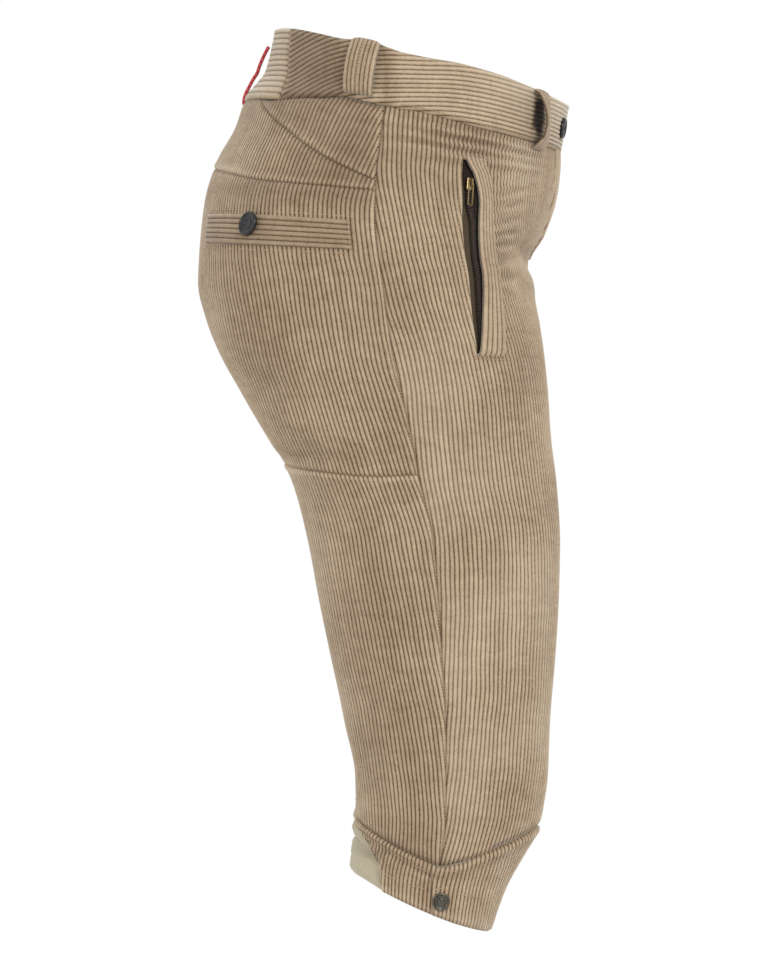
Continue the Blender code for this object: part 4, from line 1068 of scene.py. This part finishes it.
# Bars across the ends of the pocket's mouth: (drop, from, to, height).
BARS = ((74, 64, 92, 0.7), (75.8, 64, 92, 0.7), (239.5, 66, 97, 0.9), (241.5, 66, 97, 0.9))
# Along the hem's front half: (distance from the side seam, drop, height).
HEM_STITCHES = (
    (2, 656, 3.2), (14, 656.5, 3.2), (26, 657.5, 1.9), (40, 658.5, 0.8), (60, 660, 0.8),
    (90, 660.5, 0.8), (150, 660.5, 0.8),
)


class Stitches:
    """Short rounded stitches, gathered into one mesh for each side of the body."""

    AROUND = 6
    RINGS = ((0.0, 0.35), (0.22, 0.9), (0.78, 0.9), (1.0, 0.35))    # along a stitch, and its radius there

    def __init__(self):
        self.points, self.faces = [], []

    def add(self, start, end, radius):
        side = unit(np.cross(unit(end - start), (0.31, 0.87, 0.38)))
        other = np.cross(unit(end - start), side)
        self.faces += tube_faces(len(self.RINGS), self.AROUND, len(self.points))
        for along, wide in self.RINGS:
            for k in range(self.AROUND):
                t = 2 * math.pi * k / self.AROUND
                out = side * math.cos(t) + other * math.sin(t)
                self.points.append(start + (end - start) * along + radius * wide * out)

    def single(self, along, drop, height, radius):
        """One stitch between two places."""
        self.add(*lifted(along, drop, height), radius)

    def line(self, along, drop, height, pitch=3.0, length=1.9, radius=0.42):
        """A run of stitches along a path of distances from the side seam and drops."""
        path = spread(along, drop, height)
        count = len(path[0])
        fine, where = np.linspace(0, 1, 40 * count), np.linspace(0, 1, count)
        points = lifted(*(np.interp(fine, where, values) for values in path))
        run = run_length(points)
        for k in range(int((run[-1] - length) / pitch) + 1):
            start = k * pitch + 0.3
            start, end = np.stack([np.interp((start, start + length), run, row) for row in points.T], axis=-1)
            self.add(start, end, radius)

    def seam(self, line, low, high, below, height):
        """A run of stitches along a seam between two places round the ring."""
        around = np.linspace(low, high, 40)
        drop = line(around) + below
        self.line(distance(around, drop), drop, height)

    def objects(self, name, sides, material):
        for side in sides:
            obj = mesh_object(f"{name}_{side}", side, np.array(self.points), self.faces, material)
            dress(obj, "corduroy")


def stitch_panels(top):
    """Across the side seam and along the seams between the panels."""
    for drop in np.arange(BAND_SEAM[3][1] + 3, CUFF_SEAM[6][1] - 3, LADDER_PITCH):
        top.single(LADDER, (drop, drop + 0.5), (0.15, 0.75), 0.36)
    top.seam(upper_yoke, 1.01, 1.56, -3.0, 0.4)
    top.seam(lower_yoke, 1.01, 1.99, -3.0, 0.4)
    top.seam(thigh_seam, 1.02, 1.98, 3.4, 0.3)
    top.seam(cuff_seam, 0.02, 0.9, 8.2, 0.7)
    top.seam(cuff_seam, 1.03, 1.34, 7.4, 0.4)


def stitch_pockets(top):
    """Round the back pocket's welt, and beside the front pocket's mouth and welt."""
    near, far, frame_top = BACK_WELT["near"], BACK_WELT["far"], BACK_WELT["top"] - 2.6
    along = np.linspace(near + 2.5, far - 2, 30)
    top.line(along, frame_top, 0.35, pitch=2.9)
    top.line(along, welt_bottom((along - near) / (far - near)) + FRAME, 0.35, pitch=2.9)
    for at, height in ((near + 2.6, 0.6), (near - 1.2, 2.0)):
        top.line(at, (frame_top, BACK_WELT["bottom_near"] + FRAME), height, pitch=1.9, length=1.5, radius=0.5)
    for edge, away, low, high in ((mouth_back, -4.2, 70.0, 243.0), (welt_seam, 2.2, 77.0, 240.0)):
        drop = np.linspace(low, high, 50)
        top.line(edge(drop) + away, drop, 0.4)
    for drop, low, high, height in BARS:
        top.line((low, high), drop, height, pitch=2.4, length=1.8)


def stitch_cuff(top):
    """Along the hem, the vent and the side of the knit insert."""
    top.line(*np.array(HEM_STITCHES).T)
    top.line((-2.6, -0.5, 2.2), (642.0, 655.0, 667.5), 3.2)
    top.line((-2.6, VENT_UNDERLAP + 2), (641.0, 641.5), 3.3, pitch=2.3, length=1.7)
    insert_at = insert_edge(-1)
    top.line(np.linspace(-9.0, insert_at(659.0) + 3, 10), 659.0, 0.5)
    drop = np.linspace(614.0, 668.0, 20)
    top.line(insert_at(drop) + 3.0, drop, 0.4)


def stitch_band(top):
    """Over the waistband's lower seam, across the belt loops' ends and down the side loop."""
    top.seam(band_seam, 0.01, 0.95, -2.6, 2.0)
    for top_at, low_at, width, high, low, *_, height in LOOPS.values():
        for drop in (low - 2.0, low - 4.2, high + 2.2):
            centre = between(top_at, low_at, (drop - high) / (low - high))
            across = (centre - width / 2 + 1, centre + width / 2 - 1)
            top.line(across, drop, height, pitch=2.0, length=1.6)
    top_at, low_at, _, high, low, stand_off, *_ = LOOPS["side_loop"]
    share = np.linspace(0.05, 0.93, 30)
    along, drop = between(top_at, low_at, share), between(high, low, share)
    for across in (-1.3, 1.3):
        top.line(along + across, drop, 5.1 + stand_off * loop_arch(share), pitch=2.8, length=1.7, radius=0.38)


def stitching(thread):
    top = Stitches()
    for part in (stitch_panels, stitch_pockets, stitch_cuff, stitch_band):
        part(top)
    top.objects("stitching", BOTH, thread)

    closing = Stitches()
    share = np.linspace(0.0, 0.985, 50)
    drop = between(FLY["top"], FLY["bottom"], share)
    closing.line(distance(FRONT_CENTRE, drop) - fly_width(share) + 2.6, drop, 1.9)
    closing.objects("fly_stitching", ("right",), thread)


def zip_teeth(nylon):
    """Coil teeth down the middle of each pocket's zip."""
    coil = Stitches()
    drops = np.arange(POCKET_TOP + 22, POCKET_BOTTOM + 1, 1.15)
    for which, (drop, at) in enumerate(zip(drops, tape_edge(drops) + 3.0)):
        lean = 0.9 if which % 2 else -0.9
        coil.single((at - 1.7 + lean, at + 1.7 + lean), (drop, drop + 0.25), -2.7, 0.52)
    coil.objects("zip_teeth", BOTH, nylon)


# ---------------------------------------------------------------- turned pieces and cord

# Half sections from the back's middle to the front's: (share of the radius, share of the thickness).
BUTTON_SHAPE = (
    (0, 0), (0.80, 0), (0.93, 0.12), (1, 0.42), (1, 0.62), (0.97, 0.86), (0.92, 0.98), (0.86, 1),
    (0.80, 0.95), (0.76, 0.82), (0.72, 0.74), (0.60, 0.70), (0.50, 0.71), (0.46, 0.80), (0.42, 0.86),
    (0.36, 0.84), (0.33, 0.74), (0.28, 0.66), (0.18, 0.64), (0, 0.66),
)
SNAP_SHAPE = (
    (0, 0), (0.86, 0), (0.97, 0.25), (1, 0.55), (0.98, 0.85), (0.9, 1), (0.82, 0.98), (0.76, 0.8),
    (0.7, 0.55), (0.6, 0.45), (0.5, 0.48), (0.46, 0.75), (0.42, 1), (0.34, 1.12), (0.18, 1.16), (0, 1.17),
)
TURNED_STEPS = 56
BUTTON_DROP = 26.0         # of the waist button
BUTTON_LEAN = 0.34         # a back button hangs a little backwards on its thread


def turned(name, node, shape, radius, thick, seat_at, material, slot):
    """A round piece from a half section about its own axis."""
    centre, normal, up = seat_at
    z = Vector(normal).normalized()
    x = Vector(up).cross(z).normalized()
    y = z.cross(x)
    rings, faces, points = [], [], []
    for wide, high in shape:
        count = TURNED_STEPS if wide else 1
        rings.append(list(range(len(points), len(points) + count)))
        for k in range(count):
            t = 2 * math.pi * k / TURNED_STEPS
            reach = x * (radius * wide * math.cos(t)) + y * (radius * wide * math.sin(t))
            points.append((Vector(centre) + reach + z * (thick * high))[:])
    for low, high in zip(rings, rings[1:]):
        for k in range(TURNED_STEPS):
            corners = (low, k), (low, k + 1), (high, k + 1), (high, k)
            faces.append(list(dict.fromkeys(ring[at % len(ring)] for ring, at in corners)))
    dress(mesh_object(name, "", points, faces, material, sharp=50), slot, node)


def on_cloth(along, drop, height, side="right", lean=0.0):
    """Centre, outward and upward directions of a piece that lies on the cloth."""
    here, above = lifted(along, (drop, drop - 1.5), height)
    out = normals(place(along, [drop]), np.array([drop]))[0]
    out[1] += lean
    directions = here, out, above - here
    return [mirrored(v) for v in directions] if side == "left" else directions


def buttons_and_snaps(horn, metal):
    front = distance(0.001, BUTTON_DROP)
    at = on_cloth(front - 36.0, BUTTON_DROP, 1.0)
    turned("button_waist", "waist_button", BUTTON_SHAPE, 8.5, 3.6, at, horn, "button")
    for side in BOTH:
        at = on_cloth(-103.5, 142.0, 2.9, side, BUTTON_LEAN)
        node = f"back_pocket_button_{side}"
        turned(f"button_back_{side}", node, BUTTON_SHAPE, 10.0, 4.2, at, horn, "button")
        at = on_cloth(4.5, 663.0, 2.9, side)
        turned(f"snap_{side}", f"cuff_snap_{side}", SNAP_SHAPE, 7.2, 2.2, at, metal, "gunmetal")


CORD_DROPS, CORD_RADIUS, CORD_STEPS = (14.0, 59.0), 1.5, 24
CORD_TWIST = 4.6           # length over which its strands turn once


def hanging_loop(red):
    """Bow of braided cord, sewn to the waistband at its two ends."""
    share = np.linspace(0, 1, 150)
    drop = between(*CORD_DROPS, share)
    lift = 3.6 * (1 - share) + 0.6 + 5.2 * np.sin(math.pi * share) ** 0.9
    centre = surface(2.0, drop) + normals(2.0, drop) * lift[:, None]
    centre[:, 0] = 0.25 * np.sin(share * 9.0)
    run = run_length(centre)
    tangent = unit(np.gradient(centre, axis=0))
    side = unit(np.array([1.0, 0.0, 0.0]) - tangent * tangent[:, :1])
    out = np.cross(tangent, side)
    theta = 2 * np.pi * np.arange(CORD_STEPS) / CORD_STEPS
    twist = 2 * np.pi * run[:, None] / CORD_TWIST
    strands = np.maximum(np.cos(3 * theta + twist), np.cos(3 * theta - twist))
    radius = CORD_RADIUS * (0.92 + 0.08 * strands)
    radius[[0, -1]] = CORD_RADIUS * 0.7
    spokes = side[:, None] * np.cos(theta)[:, None] + out[:, None] * np.sin(theta)[:, None]
    points = (centre[:, None] + radius[..., None] * spokes).reshape(-1, 3)
    faces = outward(points, tube_faces(len(share), CORD_STEPS))
    values = {"strand": np.ravel(strands), "length": np.repeat(run, CORD_STEPS)}
    dress(mesh_object("cord_loop", "", points, faces, red, values), "red_cord", "hanging_loop")


# ---------------------------------------------------------------- materials

def linear(*srgb):
    """A colour given as 0-255 sRGB numbers, as Blender wants it."""
    parts = [v / 255.0 for v in srgb]
    return (*((p / 12.92 if p <= 0.04045 else ((p + 0.055) / 1.055) ** 2.4) for p in parts), 1.0)


class Look:
    """A material under construction: adds nodes and joins them."""

    def __init__(self, name, **shader):
        self.material = bpy.data.materials.new(name)
        self.material.use_nodes = True
        self.tree = self.material.node_tree
        self.shader = self.tree.nodes["Principled BSDF"]
        for key, value in shader.items():
            self.shader.inputs[key.replace("_", " ")].default_value = value

    def join(self, value, socket):
        """Links a socket's value or sets it."""
        if isinstance(value, bpy.types.NodeSocket):
            self.tree.links.new(value, socket)
        else:
            socket.default_value = value

    def node(self, kind, inputs=(), out=0, **settings):
        made = self.tree.nodes.new(kind)
        for key, value in settings.items():
            setattr(made, key, value)
        for socket, value in dict(inputs).items():
            self.join(value, made.inputs[socket])
        return made.outputs[out]

    def number(self, name):
        return self.node("ShaderNodeAttribute", attribute_name=name, out="Fac")

    def place(self):
        return self.node("ShaderNodeTexCoord", out="Object")

    def math(self, operation, a, b=0.0, c=0.0, clamp=False):
        return self.node("ShaderNodeMath", {0: a, 1: b, 2: c}, operation=operation, use_clamp=clamp)

    def swayed(self, base, value, amount, clamp=False):
        """The base moved up and down by a value that lies about a half."""
        return self.math("MULTIPLY_ADD", self.math("SUBTRACT", value, 0.5), amount, base, clamp)

    def span(self, value, low, high, to_low=0.0, to_high=1.0, kind="SMOOTHSTEP"):
        ends = {"From Min": low, "From Max": high, "To Min": to_low, "To Max": to_high}
        return self.node("ShaderNodeMapRange", {"Value": value, **ends}, interpolation_type=kind)

    def noise(self, vector, scale, detail=2.0, roughness=0.5):
        inputs = {"Vector": vector, "Scale": scale, "Detail": detail, "Roughness": roughness}
        return self.node("ShaderNodeTexNoise", inputs)

    def weave_noise(self, wale, length, across, down, detail, roughness=0.5):
        """Noise stretched along the cloth, with its own scale across the ribs and down them."""
        x, y = self.math("MULTIPLY", wale, across), self.math("MULTIPLY", length, down)
        return self.noise(self.node("ShaderNodeCombineXYZ", {0: x, 1: y}), 1.0, detail, roughness)

    def mix(self, share, a, b):
        return self.node("ShaderNodeMix", {0: share, 6: a, 7: b}, out=2, data_type="RGBA")

    def finish(self, colour, grain, rough, height=None, depth=0.0, strength=0.0):
        """Joins the colour, a roughness between two values by the grain, and the relief."""
        inputs = self.shader.inputs
        self.join(colour, inputs["Base Color"])
        self.join(self.span(grain, 0.2, 0.8, *rough, "LINEAR"), inputs["Roughness"])
        if height:
            relief = {"Height": height, "Distance": depth, "Strength": strength}
            self.join(self.node("ShaderNodeBump", relief), inputs["Normal"])
        return self.material


def corduroy():
    """Pile that is pale on the ribs' crowns and deep in the grooves, uneven along every rib. The pale crowns
    and dark grooves are partly the pile's own colour and partly painted light and shade.
    """
    look = Look(
        "corduroy", Sheen_Weight=0.62, Sheen_Roughness=0.35, Specular_IOR_Level=0.12,
        Sheen_Tint=linear(250, 247, 238),
    )
    wale, length, tone = look.number("wale"), look.number("length"), look.number("tone")
    row = look.math("FLOOR", wale)
    # The groove's edges wander a little where tufts lean over them.
    lean = look.weave_noise(row, length, 3.7, 0.45, 2.0)
    off = look.math("PINGPONG", look.swayed(wale, lean, 0.16), 0.5)
    groove = look.math("SUBTRACT", 1.0, look.span(off, 0.02, 0.16))
    crown = look.span(off, 0.1, 0.42)
    pile = look.weave_noise(wale, length, 7.0, 1.1, 4.0, 0.65)
    tuft = look.weave_noise(wale, length, 2.2, 0.35, 3.0, 0.55)
    patch = look.noise(look.place(), 16.0, 3.0, 0.55)
    odd = look.node("ShaderNodeTexWhiteNoise", {"W": row}, noise_dimensions="1D")
    crush = look.weave_noise(wale, length, 0.22, 0.14, 3.0, 0.6)
    light = look.math("MULTIPLY_ADD", crown, 0.3, 0.35)
    for value, amount in ((pile, 0.85), (tuft, 0.55), (crush, 0.6), (patch, 0.5)):
        light = look.swayed(light, value, amount)
    light = look.swayed(light, odd, 0.12, clamp=True)
    # The crowns' paleness and the grooves' deep colour are partly the pile's own colour and partly painted
    # light and shade.
    body = look.mix(light, linear(115, 92, 68), linear(186, 167, 141))
    deep = look.mix(light, linear(54, 37, 22), linear(100, 79, 57))
    colour = look.mix(look.math("MULTIPLY", groove, 0.97), body, deep)
    # The tone carries the panels' own tones together with painted light and shade: it pales towards a light
    # beige, darkens towards a dark brown, and below -1 goes on towards near black for the painted shadow in
    # the front belt loop's gap.
    darker = look.math("MULTIPLY", tone, -1.0, clamp=True)
    paler = look.math("MULTIPLY", tone, 1.0, clamp=True)
    painted_deep_shadow = look.math("SUBTRACT", look.math("MULTIPLY", tone, -1.0), 1.0, clamp=True)
    for share, shade in ((darker, (66, 46, 30)), (painted_deep_shadow, (14, 9, 6)), (paler, (214, 200, 178))):
        colour = look.mix(share, colour, linear(*shade))
    # Painted shade: the sheets' inner faces are darkened towards a dark brown.
    inside = look.math("MULTIPLY", look.number("under"), 0.35)
    colour = look.mix(inside, colour, linear(70, 54, 38))
    height = look.math("MULTIPLY_ADD", crown, 0.5, look.math("MULTIPLY", pile, 0.8))
    return look.finish(colour, pile, (0.82, 0.98), height, 0.0004, 0.7)


TURN = 6.283


def plain_cloth(name, low, high, down=1.0, sheen=0.2):
    """Close weave from two sets of threads."""
    look = Look(name, Sheen_Weight=sheen, Specular_IOR_Level=0.2)
    wale, length = look.number("wale"), look.number("length")
    turns = (wale, TURN), (length, down * TURN)
    warp, weft = (look.math("SINE", look.math("MULTIPLY", *turn)) for turn in turns)
    threads = look.math("MULTIPLY_ADD", look.math("ADD", warp, weft), 0.25, 0.5)
    grit = look.weave_noise(wale, length, 2.0, 2.0, 4.0)
    patch = look.noise(look.place(), 30.0, 3.0)
    light = look.swayed(look.swayed(threads, grit, 0.7), patch, 0.6, clamp=True)
    return look.finish(look.mix(light, linear(*low), linear(*high)), grit, (0.8, 0.95), light, 0.0004, 0.6)


def thread_look(name, low, high):
    """Twisted fibres with broad changes of tone."""
    look = Look(name, Specular_IOR_Level=0.3, Sheen_Weight=0.2)
    fibres, patch = look.noise(look.place(), 900.0, 3.0), look.noise(look.place(), 25.0, 2.0)
    light = look.swayed(fibres, patch, 0.8, clamp=True)
    return look.finish(look.mix(light, linear(*low), linear(*high)), fibres, (0.6, 0.85), fibres, 0.0002, 0.5)


def horn_look():
    """Dark horn, clouded and veined."""
    look = Look("horn", Specular_IOR_Level=0.35, Coat_Weight=0.1, Coat_Roughness=0.15)
    cloud = look.noise(look.place(), 180.0, 4.0, 0.6)
    bands = {"Vector": look.place(), "Scale": 60.0, "Distortion": 6.0, "Detail": 3.0}
    vein = look.node("ShaderNodeTexWave", bands, out="Fac", wave_type="BANDS")
    light = look.math("MULTIPLY_ADD", cloud, 0.6, look.math("MULTIPLY", vein, 0.4))
    colour = look.mix(light, linear(6, 8, 7), linear(27, 30, 28))
    return look.finish(colour, cloud, (0.2, 0.42), cloud, 0.0001, 0.3)


def metal_look(name, low, high, rough):
    """Metal with a fine grain and a clouded, aged tone."""
    look = Look(name, Metallic=1.0)
    grain, cloud = look.noise(look.place(), 700.0, 4.0, 0.6), look.noise(look.place(), 120.0, 3.0)
    light = look.swayed(grain, cloud, 1.2, clamp=True)
    return look.finish(look.mix(light, linear(*low), linear(*high)), grain, rough, grain, 0.0001, 0.3)


def cord_look():
    """Braided red yarn, with painted light on top of its strands and painted shade between them."""
    look = Look("red_cord", Sheen_Weight=0.3, Specular_IOR_Level=0.3)
    strand = look.number("strand")
    fibres = look.noise(look.place(), 1200.0, 3.0)
    light = look.swayed(look.span(strand, 0.2, 1.0), fibres, 0.5, clamp=True)
    colour = look.mix(light, linear(140, 30, 40), linear(226, 84, 88))
    return look.finish(colour, fibres, (0.6, 0.85), light, 0.0003, 0.6)


def floor_look():
    """Pale floor that fades out towards its edges."""
    look = Look("floor", Specular_IOR_Level=0.1)
    cloud = look.noise(look.place(), 3.0, 2.0)
    away = look.node("ShaderNodeVectorMath", {0: look.place()}, out="Value", operation="LENGTH")
    look.join(look.span(away, *FLOOR_FADE, 1.0, 0.0), look.shader.inputs["Alpha"])
    return look.finish(look.mix(cloud, linear(238, 237, 235), linear(246, 245, 243)), cloud, (0.85, 0.95))


# ---------------------------------------------------------------- studio

FLOOR_HEIGHT = -0.95
FLOOR_FADE = (0.7, 2.2)    # the floor is whole up to the first distance and gone at the second
AIM = (0.0, 0.0, -0.35)
# Lamps: (name, place, size, power).
LAMPS = (("key", (-3.0, -1.6, 1.6), 1.2, 60.0), ("fill", (-2.6, 1.9, 0.3), 1.6, 16.0))


def linked(name, data, location=(0.0, 0.0, 0.0), rotation=(0.0, 0.0, 0.0)):
    obj = bpy.data.objects.new(name, data)
    obj.location, obj.rotation_euler = location, rotation
    bpy.context.scene.collection.objects.link(obj)
    return obj


def studio():
    scene = bpy.context.scene
    scene.view_settings.view_transform = "Standard"
    scene.world = bpy.data.worlds.new("studio")
    scene.world.use_nodes = True
    shade = scene.world.node_tree.nodes["Background"]
    shade.inputs["Color"].default_value = (1.0, 1.0, 1.0, 1.0)
    shade.inputs["Strength"].default_value = 1.0

    for name, at, size, power in LAMPS:
        lamp = bpy.data.lights.new(name, "AREA")
        lamp.shape, lamp.size, lamp.energy = "DISK", size, power
        linked(name, lamp, at, (Vector(AIM) - Vector(at)).to_track_quat("-Z", "Y").to_euler())

    mesh = bpy.data.meshes.new("floor")
    corners = [(x * FLOOR_FADE[1], y * FLOOR_FADE[1], 0) for x, y in ((-1, -1), (1, -1), (1, 1), (-1, 1))]
    mesh.from_pydata(corners, [], [(0, 1, 2, 3)])
    mesh.materials.append(floor_look())
    linked("floor", mesh, (0.0, 0.0, FLOOR_HEIGHT))

    camera = bpy.data.cameras.new("camera")
    camera.sensor_fit, camera.sensor_height, camera.lens = "VERTICAL", 36.0, 234.375
    camera.clip_end = 100.0
    scene.camera = linked("camera", camera, (-5.09, 0.0334, -0.338), (math.pi / 2, 0.0, -math.pi / 2))


def main():
    cloth = corduroy()
    knit = plain_cloth("stretch_knit", (148, 138, 114), (184, 174, 149), down=0.8, sheen=0.3)
    lining = plain_cloth("pocket_cloth", (46, 37, 23), (84, 70, 48))
    tape = plain_cloth("zip_tape", (15, 9, 5), (46, 32, 22), sheen=0.1)
    thread = thread_look("thread", (134, 112, 84), (184, 162, 132))
    nylon = thread_look("zip_coil", (28, 18, 12), (72, 54, 42))
    horn = horn_look()
    metal = metal_look("gunmetal", (58, 56, 50), (116, 112, 101), (0.22, 0.42))
    brass = metal_look("aged_brass", (92, 78, 52), (168, 148, 108), (0.25, 0.45))
    red = cord_look()
    for panels in (front_leg, yokes, seat, back_leg, cuffs):
        panels(cloth)
    calf_insert(knit)
    band_side(cloth)
    band_back(cloth)
    pocket(cloth, lining, tape)
    for strips in (back_pocket, belt_loops, fly):
        strips(cloth)
    stitching(thread)
    zip_teeth(nylon)
    buttons_and_snaps(horn, metal)
    hanging_loop(red)
    for name, node in frame["nodes"].items():
        if name.startswith(("zip_slider", "zip_pull")):
            node.data.materials.clear()
            node.data.materials.append(brass)
    studio()


main()
